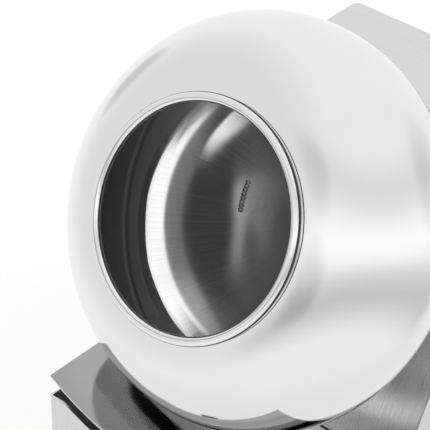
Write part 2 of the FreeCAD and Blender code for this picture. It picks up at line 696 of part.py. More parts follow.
def gearbox_cover():
    low = -GEAR_REACH - dim.case_half - dim.case_cover
    body = on_axis(stack("gearbox_cover", [(ZERO, ZERO)], [
        (dim.case_radius, low, low + dim.case_cover),
    ]), ZERO)
    drill(body, CASE_CENTRES, dim.case_screw_radius + dim.bolt_fit, low, low + dim.case_cover)
    return body


def gearbox_screws():
    under = -GEAR_REACH - dim.case_half - dim.case_cover
    return on_axis(stack("gearbox_screws", CASE_CENTRES, [
        (dim.case_screw_head, under - dim.case_screw_rise, under),
        (dim.case_screw_radius, under, under + dim.case_cover + dim.case_screw_depth),
    ]), ZERO)


def worm_bushes():
    body = on_axis(new_body("worm_bushes"), -GEAR_REACH, CENTRE_DISTANCE)
    high = dim.tunnel_top - dim.tunnel_end_wall
    for start in (-high, dim.tunnel_top - dim.bush_length):
        face = new_sketch(body, "XZ", start)
        bore = dim.worm_shaft_radius + dim.running_gap
        circles(face, [(ZERO, ZERO, dim.tunnel_bore), (ZERO, ZERO, bore)])
        pad(body, face, dim.bush_length)
    return body


def motor_flange():
    return turned_on_worm("motor_flange", ring(
        dim.worm_shaft_radius + dim.running_gap, dim.motor_radius, -HOUSING_TOP, -MOTOR_TOP))


def motor_housing():
    """Finned tube of the motor; the side under the terminal box has no fins."""
    body = turned_on_worm("motor_housing", ring(
        dim.motor_radius - dim.motor_wall, dim.motor_radius, -HOUSING_LOW, -HOUSING_TOP))
    root_radius = dim.motor_radius - dim.motor_wall / 2
    fin = new_sketch(body, "XZ", HOUSING_TOP)
    lean = (dim.fin_sweep - 360) / 2
    half = dim.fin_width / 2
    corners = [(-root_radius, -half), (-root_radius, half),
               (-dim.motor_radius - dim.fin_height, half), (-dim.motor_radius - dim.fin_height, -half)]
    outline(fin, [
        (across * cosine(lean) - up * sine(lean), across * sine(lean) + up * cosine(lean))
        for across, up in corners
    ])
    spread_round(body, pad(body, fin, dim.motor_length), dim.fin_count, dim.fin_sweep, "Y_Axis")
    return body


def motor_end_bell():
    return turned_on_worm("motor_end_bell", ring(
        dim.worm_shaft_radius + dim.running_gap, dim.motor_radius, -BELL_LOW, -HOUSING_LOW))


def stator_core():
    return turned_on_worm("stator_core", ring(
        dim.rotor_radius + dim.air_gap, dim.motor_radius - dim.motor_wall, -STATOR_LOW, -STATOR_TOP))


def fan_cover():
    """Cup over the fan with round air holes."""
    low = BELL_LOW + dim.fan_cover_length
    inner = dim.motor_radius - dim.fan_cover_wall
    body = turned_on_worm("fan_cover", [
        (ZERO, -low), (dim.motor_radius, -low), (dim.motor_radius, -BELL_LOW), (inner, -BELL_LOW),
        (inner, dim.fan_cover_wall - low), (ZERO, dim.fan_cover_wall - low),
    ])
    hole = drill(body, [(dim.grille_circle, ZERO)], dim.grille_radius,
                 low - dim.fan_cover_wall, low, "XZ")
    spread_round(body, hole, dim.grille_count, None, "Y_Axis")
    return body


def terminal_box():
    """Connection box on the unfinned side of the motor."""
    body = on_axis(new_body("terminal_box"), -GEAR_REACH, CENTRE_DISTANCE)
    start = HOUSING_TOP + dim.terminal_step
    half = dim.terminal_width / 2
    seat = root(dim.motor_radius * dim.motor_radius - half * half)
    face = new_sketch(body, "XZ", start)
    outline(face, [
        (-dim.motor_radius - dim.terminal_rise, -half), (-seat, -half, dim.motor_radius, -1),
        (-seat, half), (-dim.motor_radius - dim.terminal_rise, half),
    ])
    pad(body, face, dim.terminal_length)
    return body


def knuckle_end(radius):
    """Where a knuckle arc of that radius meets the crown of the back."""
    return (KNUCKLE_CENTRE + radius * sine(dim.crown_angle), -radius * cosine(dim.crown_angle))


def mouth_level(radius):
    """Reach of a knuckle arc of that radius where it ends in the bead."""
    lip = dim.bead_circle - KNUCKLE_CENTRE
    return root(radius * radius - lip * lip)


def drum_front():
    """Front half of the spun drum: the knuckle arc from the mouth to the widest ring."""
    inner_knuckle = dim.knuckle_radius - dim.drum_wall
    return on_axis(turned("drum_front", [
        (dim.bead_circle, mouth_level(dim.knuckle_radius), dim.knuckle_radius, -1),
        (dim.drum_radius, ZERO),
        (dim.drum_radius - dim.drum_wall, ZERO, inner_knuckle, 1),
        (dim.bead_circle, mouth_level(inner_knuckle)),
    ]), ZERO)


def drum_back():
    """Back half of the drum, butt-welded to the front at the widest ring, with a crowned end."""
    inner_knuckle = dim.knuckle_radius - dim.drum_wall
    return on_axis(turned("drum_back", [
        (dim.drum_radius, ZERO, dim.knuckle_radius, -1),
        knuckle_end(dim.knuckle_radius) + (CROWN_RADIUS, -1),
        (ZERO, CROWN_CENTRE - CROWN_RADIUS),
        (ZERO, CROWN_CENTRE - CROWN_RADIUS + dim.drum_wall, CROWN_RADIUS - dim.drum_wall, 1),
        knuckle_end(inner_knuckle) + (inner_knuckle, 1),
        (dim.drum_radius - dim.drum_wall, ZERO),
    ]), ZERO)


def mouth_bead(front_half):
    """Rolled bead round the mouth, closed over the lip of the drum."""
    bead = on_axis(doc.addObject("Part::Torus", "bead_roll"), dim.bead_reach)
    set_size(bead, "Radius1", dim.bead_circle)
    set_size(bead, "Radius2", dim.bead_diameter / 2)
    rolled = doc.addObject("Part::Cut", "mouth_bead")
    rolled.Base = bead
    rolled.Tool = front_half
    return rolled


def hub_disc():
    """Disc welded to the crown of the drum, with tapped holes for the shaft flange."""
    rim = CROWN_CENTRE - root(CROWN_RADIUS * CROWN_RADIUS - dim.hub_radius * dim.hub_radius)
    body = on_axis(turned("hub_disc", [
        (ZERO, -HUB_REACH), (dim.hub_radius, -HUB_REACH),
        (dim.hub_radius, rim, CROWN_RADIUS, -1), (ZERO, CROWN_CENTRE - CROWN_RADIUS),
    ]), ZERO)
    drill_bolt_ring(body, dim.drive_bolt_radius, -HUB_REACH, dim.hub_bolt_depth - HUB_REACH)
    return body


def drill_bolt_ring(body, radius, start, end):
    hole = drill(body, [(dim.hub_bolt_circle, ZERO)], radius, start, end)
    spread_round(body, hole, dim.hub_bolt_count)


def drum_shaft():
    """Flanged shaft: bearing seat, shoulder and keyed seat for the worm wheel."""
    end = WHEEL_BACK - dim.shaft_end_gap
    body = on_axis(turned("drum_shaft", [
        (ZERO, -end), (dim.wheel_seat_radius, -end), (dim.wheel_seat_radius, -WHEEL_FRONT),
        (dim.shaft_radius, -WHEEL_FRONT), (dim.shaft_radius, -SEAL_FRONT),
        (dim.collar_radius, -SEAL_FRONT), (dim.collar_radius, -SHAFT_FLANGE_BACK),
        (dim.shaft_flange_radius, -SHAFT_FLANGE_BACK), (dim.shaft_flange_radius, -HUB_REACH),
        (ZERO, -HUB_REACH),
    ]), ZERO)
    drill(body, [(ZERO, ZERO)], dim.end_bolt_radius, -end, dim.end_bolt_depth - end)
    keyway = new_sketch(body, "XY", dim.key_length / 2 - GEAR_REACH)
    rectangle(keyway, -dim.key_width / 2, dim.key_width / 2,
              dim.wheel_seat_radius - dim.key_depth, dim.wheel_seat_radius + dim.key_rise)
    pocket(body, keyway, dim.key_length)
    drill_bolt_ring(body, dim.drive_bolt_radius + dim.bolt_fit, -SHAFT_FLANGE_BACK, -HUB_REACH)
    return body


def wheel_key():
    body = on_axis(new_body("wheel_key"), ZERO)
    face = new_sketch(body, "XY", -GEAR_REACH - dim.key_length / 2)
    rectangle(face, -dim.key_width / 2, dim.key_width / 2,
              dim.wheel_seat_radius - dim.key_depth, dim.wheel_seat_radius + dim.key_rise)
    pad(body, face, dim.key_length)
    return body


def hub_bolts():
    body = on_axis(new_body("hub_bolts"), ZERO)
    levels = [
        (dim.drive_bolt_head, -SHAFT_FLANGE_BACK - dim.drive_bolt_rise, -SHAFT_FLANGE_BACK),
        (dim.drive_bolt_radius, -SHAFT_FLANGE_BACK, dim.hub_bolt_depth - HUB_REACH),
    ]
    for radius, start, end in levels:
        face = new_sketch(body, "XY", start)
        circles(face, [(dim.hub_bolt_circle, ZERO, radius)])
        last = pad(body, face, end - start)
    pattern = spread_round(body, last, dim.hub_bolt_count)
    pattern.Originals = [item for item in body.Group if item.isDerivedFrom("PartDesign::Pad")]
    return body


def shaft_seal():
    """Rubber V-ring on the shaft; its lip runs against the nose of the bearing housing."""
    low = -HOUSING_NOSE + dim.seal_gap
    return on_axis(turned("shaft_seal", [
        (dim.shaft_radius, low), (dim.seal_radius, low),
        (dim.collar_radius, -SEAL_FRONT), (dim.shaft_radius, -SEAL_FRONT),
    ]), ZERO)


def worm_wheel():
    """Bronze wheel; its gaps lean by the lead of the worm that runs in them."""
    half = dim.wheel_width / 2
    hub_half = dim.wheel_hub_length / 2
    body = on_axis(turned("worm_wheel", [
        (dim.wheel_seat_radius, -hub_half), (dim.wheel_hub_radius, -hub_half),
        (dim.wheel_hub_radius, -half), (WHEEL_RADIUS, -half),
        (WHEEL_RADIUS, half), (dim.wheel_hub_radius, half),
        (dim.wheel_hub_radius, hub_half), (dim.wheel_seat_radius, hub_half),
    ]), -GEAR_REACH)
    slot = new_sketch(body, "XY", dim.key_length / 2)
    rectangle(slot, -dim.key_width / 2, dim.key_width / 2,
              dim.wheel_seat_radius - dim.key_rise, dim.wheel_seat_radius + dim.key_rise)
    pocket(body, slot, dim.key_length)
    lean = arc_tangent(-dim.gear_module / (dim.worm_pitch_radius * 2))
    floor = PITCH_RADIUS - dim.gear_module * 1.25
    bottom = dim.gear_module * 0.45 + dim.tooth_play
    mouth = dim.gear_module * 1.15 + dim.tooth_play
    gap = new_sketch(body, "XY", None, lean)
    outline(gap, [
        (floor, -bottom), (WHEEL_RADIUS + dim.gear_module, -mouth),
        (WHEEL_RADIUS + dim.gear_module, mouth), (floor, bottom),
    ])
    spread_round(body, pocket(body, gap, dim.wheel_width * 2, both=True), dim.tooth_count)
    return body


def end_washer():
    low = -WHEEL_BACK - dim.washer_wall
    body = on_axis(stack("end_washer", [(ZERO, ZERO)], [(dim.washer_radius, low, -WHEEL_BACK)]), ZERO)
    drill(body, [(ZERO, ZERO)], dim.end_bolt_radius + dim.bolt_fit, low, -WHEEL_BACK)
    return body


def end_bolt():
    under = -WHEEL_BACK - dim.washer_wall
    end = dim.shaft_end_gap - WHEEL_BACK + dim.end_bolt_depth
    return on_axis(stack("end_bolt", [(ZERO, ZERO)], [
        (dim.end_bolt_head, under - dim.end_bolt_rise, under),
        (dim.end_bolt_radius, under, end),
    ]), ZERO)


def worm_shaft():
    """Motor shaft with the worm cut on its upper end: a one-start right-hand thread."""
    high = dim.tunnel_top - dim.tunnel_end_wall
    root_radius = dim.worm_pitch_radius - dim.gear_module * 1.2
    half = dim.tunnel_top - dim.bush_length - dim.tunnel_end_wall
    body = turned_on_worm("worm_shaft", [
        (ZERO, -FAN_LOW), (dim.worm_shaft_radius, -FAN_LOW), (dim.worm_shaft_radius, -half),
        (root_radius, -half), (root_radius, half), (dim.worm_shaft_radius, half),
        (dim.worm_shaft_radius, high - dim.running_gap), (ZERO, high - dim.running_gap),
    ])
    pitch = dim.gear_module * math.pi
    sunk = root_radius - dim.gear_module * 0.3
    tip = dim.gear_module * 0.3
    foot = dim.gear_module * 0.75
    start = pitch * -2.5
    profile = new_sketch(body, "XY")
    outline(profile, [
        (sunk, start - foot), (WORM_RADIUS, start - tip), (WORM_RADIUS, start + tip), (sunk, start + foot),
    ])
    thread = body.newObject("PartDesign::AdditiveHelix", "worm_thread")
    thread.Profile = profile
    thread.ReferenceAxis = (profile, ["V_Axis"])
    thread.Mode = "pitch-turns-angle"
    set_size(thread, "Pitch", pitch)
    thread.Turns = 5
    thread.LeftHanded = False
    body.Tip = thread
    return body


def rotor_core():
    return turned_on_worm("rotor_core", ring(
        dim.worm_shaft_radius, dim.rotor_radius, -STATOR_LOW, -STATOR_TOP))


def cooling_fan():
    body = turned_on_worm("cooling_fan", ring(
        dim.worm_shaft_radius, dim.fan_hub_radius, -FAN_LOW, -FAN_TOP))
    blade = new_sketch(body, "XZ", FAN_TOP)
    half = dim.fan_blade_wall / 2
    rectangle(blade, dim.fan_hub_radius - dim.fan_blade_wall, dim.fan_radius, -half, half)
    spread_round(body, pad(body, blade, dim.fan_width), dim.fan_blade_count, None, "Y_Axis")
    return body


def on_wall(item, side):
    """Frame of one control: its axis leaves the front wall, local Z is the outward way."""
    back = DRUM_SHIFT - WALL_FACE
    return place(item, side, back, DRUM_HEIGHT - dim.control_drop, as_size(90))


def rocker_bezel():
    """Frame of the mains rocker, with a pocket that the rocker tilts in."""
    body = on_wall(new_body("rocker_bezel"), dim.rocker_side)
    lip_width = dim.rocker_half_width + dim.rocker_frame
    lip_height = dim.rocker_half_height + dim.rocker_frame
    lip = new_sketch(body, "XY")
    rectangle(lip, -lip_width, lip_width, -lip_height, lip_height)
    pad(body, lip, dim.rocker_lip)
    box_width = lip_width - dim.rocker_frame / 2
    box_height = lip_height - dim.rocker_frame / 2
    box = new_sketch(body, "XY")
    rectangle(box, -box_width, box_width, -box_height, box_height)
    pad(body, box, dim.rocker_depth, reverse=True)
    hollow = new_sketch(body, "XY", dim.rocker_lip)
    half_width = dim.rocker_half_width + dim.rocker_side_gap
    half_height = dim.rocker_half_height + dim.rocker_gap
    rectangle(hollow, -half_width, half_width, -half_height, half_height)
    pocket(body, hollow, dim.rocker_depth)
    return body


def power_rocker():
    """Rocker that tilts about its middle, with a dished face."""
    body = on_wall(new_body("power_rocker"), dim.rocker_side)
    side = new_sketch(body, "YZ")
    half = dim.rocker_half_height
    foot = dim.rocker_half_height / 2
    outline(side, [
        (-foot, -dim.rocker_sole), (foot, -dim.rocker_sole), (half, ZERO),
        (half, dim.rocker_lip + dim.rocker_rise), (ZERO, dim.rocker_lip + dim.rocker_dip),
        (-half, dim.rocker_lip + dim.rocker_rise), (-half, ZERO),
    ])
    pad(body, side, dim.rocker_half_width * 2, both=True)
    return body


def indicator_lens():
    """Lamp with a domed lens over the wall and its holder behind."""
    body = on_wall(turned("indicator_lens", [
        (ZERO, -dim.lamp_depth), (dim.lamp_radius, -dim.lamp_depth), (dim.lamp_radius, ZERO),
        (dim.lamp_lip, ZERO), (dim.lamp_lip, dim.lamp_rise / 2),
        (dim.lamp_radius, dim.lamp_rise), (ZERO, dim.lamp_rise),
    ]), dim.lamp_side)
    return body


def potentiometer():
    """Speed control behind the wall, with a bush through it."""
    bore = dim.spindle_radius + dim.running_gap
    inside = -dim.sheet_wall
    back = inside - dim.pot_depth
    return on_wall(turned("potentiometer", [
        (ZERO, back), (dim.pot_radius, back), (dim.pot_radius, inside), (dim.bush_radius, inside),
        (dim.bush_radius, ZERO), (bore, ZERO), (bore, inside - dim.spindle_grip / 2),
        (ZERO, inside - dim.spindle_grip / 2),
    ]), dim.knob_side)


def knob_spindle():
    low = dim.knob_gap - dim.sheet_wall - dim.spindle_grip / 2
    high = dim.knob_gap + dim.spindle_grip
    return on_wall(stack("knob_spindle", [(ZERO, ZERO)], [(dim.spindle_radius, low, high)]), dim.knob_side)


def speed_knob():
    """Fluted knob with a flat skirt."""
    low = dim.knob_gap
    skirt = low + dim.knob_skirt_rise
    high = low + dim.knob_rise
    body = on_wall(turned("speed_knob", [
        (ZERO, low + dim.spindle_grip), (dim.spindle_radius, low + dim.spindle_grip),
        (dim.spindle_radius, low), (dim.knob_skirt, low), (dim.knob_skirt, skirt),
        (dim.knob_radius, skirt), (dim.knob_radius, high), (ZERO, high),
    ]), dim.knob_side)
    groove = new_sketch(body, "XY", high)
    circles(groove, [(dim.knob_radius + dim.flute_radius / 2, ZERO, dim.flute_radius)])
    spread_round(body, pocket(body, groove, dim.knob_rise - dim.knob_skirt_rise), dim.knob_flutes)
    return body


def push_button(label, side):
    """Round cap that slides in its bezel."""
    step = dim.button_rise - dim.button_gap * 2
    return on_wall(turned(label, [
        (ZERO, -dim.button_depth), (dim.button_radius, -dim.button_depth),
        (dim.button_radius, step), (dim.button_radius - dim.button_gap * 2, dim.button_rise),
        (ZERO, dim.button_rise),
    ]), side)


def button_bezels():
    """Collars round the two push buttons, with sleeves through the wall."""
    centres = [(side, ZERO) for side in BUTTON_SIDES]
    body = on_wall(stack("button_bezels", centres, [
        (dim.bezel_radius, ZERO, dim.bezel_rise), (dim.bezel_sleeve, -BEZEL_DEPTH, ZERO),
    ]), ZERO)
    drill(body, centres, dim.button_radius + dim.button_gap, -BEZEL_DEPTH, dim.bezel_rise)
    return body


def switch_blocks():
    """Switch bodies clipped on behind the bezels' sleeves."""
    centres = [(side, ZERO) for side in BUTTON_SIDES]
    low = -BEZEL_DEPTH - dim.switch_depth
    return on_wall(stack("switch_blocks", centres, [(dim.bezel_sleeve, low, -BEZEL_DEPTH)]), ZERO)


def board_standoffs():
    low = dim.sheet_wall - BOTTOM_DROP
    return at_centre(stack("board_standoffs", BOARD_CENTRES, [
        (dim.standoff_radius, low, low + dim.standoff_rise),
    ]))


def control_board():
    """Speed controller: board with a heat sink and two capacitors."""
    body = at_centre(new_body("control_board"))
    low = dim.sheet_wall - BOTTOM_DROP + dim.standoff_rise
    front = dim.board_setback - dim.front_reach
    back = front + dim.board_depth
    face = new_sketch(body, "XY", low)
    rectangle(face, -dim.board_width / 2, dim.board_width / 2, front, back)
    pad(body, face, dim.board_wall)
    sink = new_sketch(body, "XY", low + dim.board_wall)
    edge = back - dim.standoff_inset * 2
    rectangle(sink, -dim.sink_width / 2, dim.sink_width / 2, edge - dim.sink_depth, edge)
    pad(body, sink, dim.sink_rise)
    cans = new_sketch(body, "XY", low + dim.board_wall)
    level = front + dim.standoff_inset + dim.capacitor_radius
    circles(cans, [
        (dim.capacitor_radius * way, level, dim.capacitor_radius) for way in (-1.5, 1.5)
    ])
    pad(body, cans, dim.capacitor_rise)
    return body


def power_inlet():
    """Mains inlet in the back wall: flange outside, socket with three pins."""
    body = place(new_body("power_inlet"), ZERO, DRUM_SHIFT + dim.back_reach,
                 DRUM_HEIGHT - dim.inlet_drop, as_size(-90))
    flange = new_sketch(body, "XY")
    width = dim.inlet_half_width
    height = dim.inlet_half_height
    rectangle(flange, -width - dim.inlet_flange, width + dim.inlet_flange,
              -height - dim.inlet_flange / 2, height + dim.inlet_flange / 2)
    pad(body, flange, dim.inlet_rise)
    box = new_sketch(body, "XY")
    rectangle(box, -width, width, -height, height)
    pad(body, box, dim.inlet_depth, reverse=True)
    socket = new_sketch(body, "XY", dim.inlet_rise)
    rectangle(socket, dim.inlet_wall - width, width - dim.inlet_wall,
              dim.inlet_wall - height, height - dim.inlet_wall)
    pocket(body, socket, dim.inlet_socket + dim.inlet_rise)
    pins = new_sketch(body, "XY", -dim.inlet_socket)
    for way in (-1, 0, 1):
        across = dim.pin_spread * way
        rectangle(pins, across - dim.pin_half_width, across + dim.pin_half_width,
                  -dim.pin_half_height, dim.pin_half_height)
    pad(body, pins, dim.inlet_socket)
    return body


front_half = drum_front()
parts = [
    chassis_shell(), base_plate(), deck_pan(), drive_plate(), top_cover(), rear_cover(),
    cover_screws(), cradle_ribs(), catch_tray(), rubber_feet(), foot_bolts(),
    bearing_housing(),
    bearing_rings("bearing_outer_rings", dim.bearing_radius - dim.race_wall, dim.bearing_radius,
                  dim.bearing_width),
    bearing_rings("bearing_cages", dim.shaft_radius + dim.race_wall + dim.cage_gap,
                  dim.bearing_radius - dim.race_wall - dim.cage_gap, dim.cage_width),
    bearing_rings("bearing_inner_rings", dim.shaft_radius, dim.shaft_radius + dim.race_wall,
                  dim.bearing_width),
    drive_bolts(), drive_spacers(), gearbox_case(), gearbox_cover(), gearbox_screws(),
    worm_bushes(), motor_flange(), motor_housing(), motor_end_bell(), stator_core(), fan_cover(),
    terminal_box(), front_half, drum_back(), mouth_bead(front_half), hub_disc(), drum_shaft(),
    wheel_key(), hub_bolts(), shaft_seal(), worm_wheel(), end_washer(), end_bolt(), worm_shaft(),
    rotor_core(), cooling_fan(), rocker_bezel(), power_rocker(), indicator_lens(), potentiometer(),
    knob_spindle(), speed_knob(), push_button("start_button", dim.start_side),
    push_button("stop_button", dim.stop_side), button_bezels(), switch_blocks(),
    board_standoffs(), control_board(), power_inlet(),
]
doc.recompute()

faults = ["%s is %s" % (item.Name, item.State) for item in doc.Objects
          if "Invalid" in item.State or "Error" in item.State]
for part in parts:
    if part.Shape.isNull() or not part.Shape.isValid() or not part.Shape.Solids:
        faults.append("%s has no valid solid" % part.Label)
for item in doc.findObjects("PartDesign::Pocket"):
    if not faults and item.BaseFeature.Shape.Volume - item.Shape.Volume < 1e-3:
        faults.append("%s cuts nothing" % item.Name)
if faults:
    raise RuntimeError("; ".join(faults))

os.makedirs("parts", exist_ok=True)
for part in parts:
    part.Shape.exportStep("parts/%s.step" % part.Label)
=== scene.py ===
"""Looks of a tabletop coating pan: a tilted polished drum over a catch tray, in a sheet-metal cabinet."""

import json
import math

import bmesh
import bpy
from bpy.props import FloatProperty, FloatVectorProperty, IntProperty, PointerProperty, StringProperty
from mathutils import Matrix, Vector

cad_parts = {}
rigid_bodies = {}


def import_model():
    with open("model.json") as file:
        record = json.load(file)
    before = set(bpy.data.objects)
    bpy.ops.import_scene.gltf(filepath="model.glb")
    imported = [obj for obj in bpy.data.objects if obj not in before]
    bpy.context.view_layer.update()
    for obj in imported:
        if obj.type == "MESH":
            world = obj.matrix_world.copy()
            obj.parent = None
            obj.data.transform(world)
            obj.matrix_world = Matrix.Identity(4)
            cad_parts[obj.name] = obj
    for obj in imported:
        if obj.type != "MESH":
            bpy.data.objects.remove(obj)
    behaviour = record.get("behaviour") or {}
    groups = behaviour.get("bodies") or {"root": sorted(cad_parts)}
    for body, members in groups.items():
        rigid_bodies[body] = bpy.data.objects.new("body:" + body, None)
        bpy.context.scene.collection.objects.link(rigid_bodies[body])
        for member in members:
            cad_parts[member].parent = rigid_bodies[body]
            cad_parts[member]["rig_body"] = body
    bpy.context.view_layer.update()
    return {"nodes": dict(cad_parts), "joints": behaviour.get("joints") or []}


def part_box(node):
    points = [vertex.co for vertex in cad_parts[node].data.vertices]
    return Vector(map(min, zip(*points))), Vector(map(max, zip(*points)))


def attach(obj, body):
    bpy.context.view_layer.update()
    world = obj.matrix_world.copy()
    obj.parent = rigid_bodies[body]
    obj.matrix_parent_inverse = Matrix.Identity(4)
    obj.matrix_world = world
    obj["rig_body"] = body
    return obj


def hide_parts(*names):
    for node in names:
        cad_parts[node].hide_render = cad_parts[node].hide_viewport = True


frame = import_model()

bl_info = {
    "name": "Coating pan looks",
    "version": (1, 0, 0),
    "blender": (4, 5, 0),
    "location": "View3D > Sidebar > Coating pan",
    "description": "Builds the visible skins, fittings and finishes of a tabletop coating pan",
    "category": "Object",
}

MM = 0.001
JOINTS = {joint["name"]: joint for joint in frame["joints"]}
DRUM_CENTRE = Vector(JOINTS["drum_spin"]["pos_m"])
DRUM_AXIS = Vector(JOINTS["drum_spin"]["axis"]).normalized()
PLATE_RISE = Vector(JOINTS["motor_spin"]["axis"]).normalized()
SIDEWAYS = Vector((1, 0, 0))
# Local frame of the drum: Z runs out of the mouth, Y up along the drive plate, X to the right.
DRUM_TURN = Matrix((SIDEWAYS, PLATE_RISE, DRUM_AXIS)).transposed().to_4x4()
DRUM_FRAME = Matrix.Translation(DRUM_CENTRE) @ DRUM_TURN
# Turns local Z out of the front wall, or out of the rear cover, with local Y up.
OUT_OF_FRONT = Matrix(((1, 0, 0), (0, 0, -1), (0, 1, 0))).to_4x4()
OUT_OF_BACK = Matrix(((-1, 0, 0), (0, 0, 1), (0, 1, 0))).to_4x4()
FRONT_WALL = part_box("chassis_shell")[0].y
# Corners nearer than this are one corner; faces that meet under the small angle are one flat face, and
# edges over the large angle are rounded.
SAME_PLACE = 1e-6
FLAT_ANGLE = math.radians(0.5)
SHARP_ANGLE = math.radians(35)
# Most of a noise lies between these two values.
NOISE = (0.3, 0.7)
# Sizes of the stage in metres.
FLOOR_FADE, FLOOR_RADIUS = 0.35, 0.6
TENT_RADIUS, MOUTH_LIGHTS_RADIUS = 12.0, 13.0


# Small helpers

def srgb(code):
    """Linear red, green, blue and alpha of an sRGB hex colour."""
    parts = [int(code[place:place + 2], 16) / 255 for place in (1, 3, 5)]
    return tuple(part / 12.92 if part <= 0.04045 else ((part + 0.055) / 1.055) ** 2.4
                 for part in parts) + (1.0,)


def add(tree, kind, feeds=(), out=0, **options):
    """Adds one node; feeds are values or sockets, in order or by name. Returns one of its outputs."""
    made = tree.nodes.new("ShaderNode" + kind)
    for name, value in options.items():
        setattr(made, name, value)
    for socket, value in feeds.items() if isinstance(feeds, dict) else enumerate(feeds):
        if isinstance(value, bpy.types.NodeSocket):
            tree.links.new(value, made.inputs[socket])
        else:
            made.inputs[socket].default_value = value
    return made.outputs[out] if made.outputs else None


def fresh_material(name):
    """Empty node material and its tree."""
    made = bpy.data.materials.new(name)
    made.use_nodes = True
    made.node_tree.nodes.clear()
    return made, made.node_tree


def close_material(made, feeds, gloss=(), relief=()):
    """Ends a material in one shader and returns it. Gloss is a pattern with the roughness where it is low
    and where it is high; relief is a pattern with its depth in metres."""
    tree = made.node_tree
    if gloss:
        pattern, low, high = gloss
        feeds["Roughness"] = add(tree, "MapRange", (pattern, *NOISE, low, high))
    if relief:
        pattern, depth = relief
        feeds["Normal"] = add(tree, "Bump", {"Height": pattern, "Strength": 1.0, "Distance": depth})
    shader = add(tree, "BsdfPrincipled", feeds)
    add(tree, "OutputMaterial", (shader,))
    return made


def picked(items, kind):
    """The corners, edges or faces among the items that an operator returns."""
    return [item for item in items if isinstance(item, kind)]


def new_object(name, mesh, material):
    """Turns a bmesh into an object in the scene."""
    data = bpy.data.meshes.new(name)
    mesh.to_mesh(data)
    mesh.free()
    data.materials.append(material)
    made = bpy.data.objects.new(name, data)
    bpy.context.scene.collection.objects.link(made)
    return made


def make_piece(name, mesh, body, material, replaced=(), rounding=0.0):
    """Turns a bmesh into a smooth piece that rides on a body; rounding is the width of its edges' bevel."""
    piece = new_object(name, mesh, material)
    faces = piece.data.polygons
    faces.foreach_set("use_smooth", [True] * len(faces))
    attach(piece, body)
    if replaced:
        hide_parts(*replaced)
    if rounding:
        edges = piece.modifiers.new("rounded edges", "BEVEL")
        edges.width = rounding
        edges.segments = 2
        edges.limit_method = "ANGLE"
        edges.angle_limit = SHARP_ANGLE
        flats = piece.modifiers.new("flat faces stay flat", "WEIGHTED_NORMAL")
        flats.weight = 100
    return piece


def thicken(piece, wall):
    """Gives a sheet its wall, behind the faces."""
    sheet = piece.modifiers.new("sheet", "SOLIDIFY")
    sheet.thickness = wall
    sheet.offset = -1


def joined_copy(name):
    """Copy of a node with its triangles joined to flat faces."""
    mesh = bmesh.new()
    mesh.from_mesh(frame["nodes"][name].data)
    bmesh.ops.remove_doubles(mesh, verts=mesh.verts[:], dist=SAME_PLACE)
    bmesh.ops.dissolve_limit(mesh, angle_limit=FLAT_ANGLE, verts=mesh.verts[:], edges=mesh.edges[:])
    return mesh


def body_of(name):
    """Body that a node rides on."""
    return frame["nodes"][name]["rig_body"]


def soften(material, slot, rounding, *names):
    """Copies nodes and rounds their edges; each copy stands for its node."""
    for name in names:
        make_piece(name + "_skin", joined_copy(name), body_of(name), material, (name,), rounding)


def dress(material, *nodes):
    """Gives a finish to nodes whose shape stays as the frame has it."""
    for name in nodes:
        data = frame["nodes"][name].data
        data.materials.clear()
        data.materials.append(material)


def arc(mesh, start, centre, axis, angle, steps):
    """Turns one corner about a centre; returns the last corner of the row of edges that it leaves."""
    row = bmesh.ops.spin(mesh, geom=[start], cent=centre, axis=axis, angle=angle, steps=steps)
    return picked(row["geom_last"], bmesh.types.BMVert)[0]


def full_turn(mesh, steps):
    """Turns every edge into a closed skin about local Z and points its faces outwards."""
    bmesh.ops.spin(mesh, geom=mesh.verts[:] + mesh.edges[:], cent=(0, 0, 0), axis=(0, 0, 1),
                   angle=math.tau, steps=steps, use_merge=True)
    bmesh.ops.remove_doubles(mesh, verts=mesh.verts[:], dist=SAME_PLACE)
    bmesh.ops.recalc_face_normals(mesh, faces=mesh.faces[:])


def set_at(mesh, places):
    """Puts one copy of the whole mesh at each place."""
    whole = mesh.verts[:] + mesh.edges[:] + mesh.faces[:]
    first = mesh.verts[:]
    for place in places[1:]:
        copy = bmesh.ops.duplicate(mesh, geom=whole)["geom"]
        bmesh.ops.transform(mesh, matrix=place, verts=picked(copy, bmesh.types.BMVert))
    bmesh.ops.transform(mesh, matrix=places[0], verts=first)


def turned(outline, places, closed=False, steps=48):
    """Lathe work: turns an outline of radii and heights in millimetres and sets it at each place."""
    mesh = bmesh.new()
    points = [mesh.verts.new((radius * MM, 0, height * MM)) for radius, height in outline]
    for first, second in zip(points, points[1:] + (points[:1] if closed else [])):
        mesh.edges.new((first, second))
    full_turn(mesh, steps)
    set_at(mesh, places)
    return mesh


def lift(mesh, face, height):
    """Extrudes a face along local Z; returns the face at the end."""
    grown = bmesh.ops.extrude_face_region(mesh, geom=[face])["geom"]
    end = picked(grown, bmesh.types.BMFace)[0]
    bmesh.ops.translate(mesh, vec=(0, 0, height), verts=end.verts[:])
    return end


def stub(radius, segments, height):
    """Round stub standing on local Z = 0; returns the mesh and its top face."""
    mesh = bmesh.new()
    bmesh.ops.create_circle(mesh, cap_ends=True, radius=radius, segments=segments)
    return mesh, lift(mesh, mesh.faces[:][0], height)


def wave(face, count, share):
    """Pulls the corners of a level face in and out about local Z, a number of times round."""
    for corner in face.verts:
        pull = 1 + share * math.cos(count * math.atan2(corner.co.y, corner.co.x))
        corner.co.x *= pull
        corner.co.y *= pull


def bar(width, length, thickness, places):
    """Flat bar that lies on local Z = 0, half sunk."""
    mesh = bmesh.new()
    bmesh.ops.create_cube(mesh, size=1.0, matrix=Matrix.Diagonal((width, length, thickness, 1)))
    set_at(mesh, places)
    return mesh


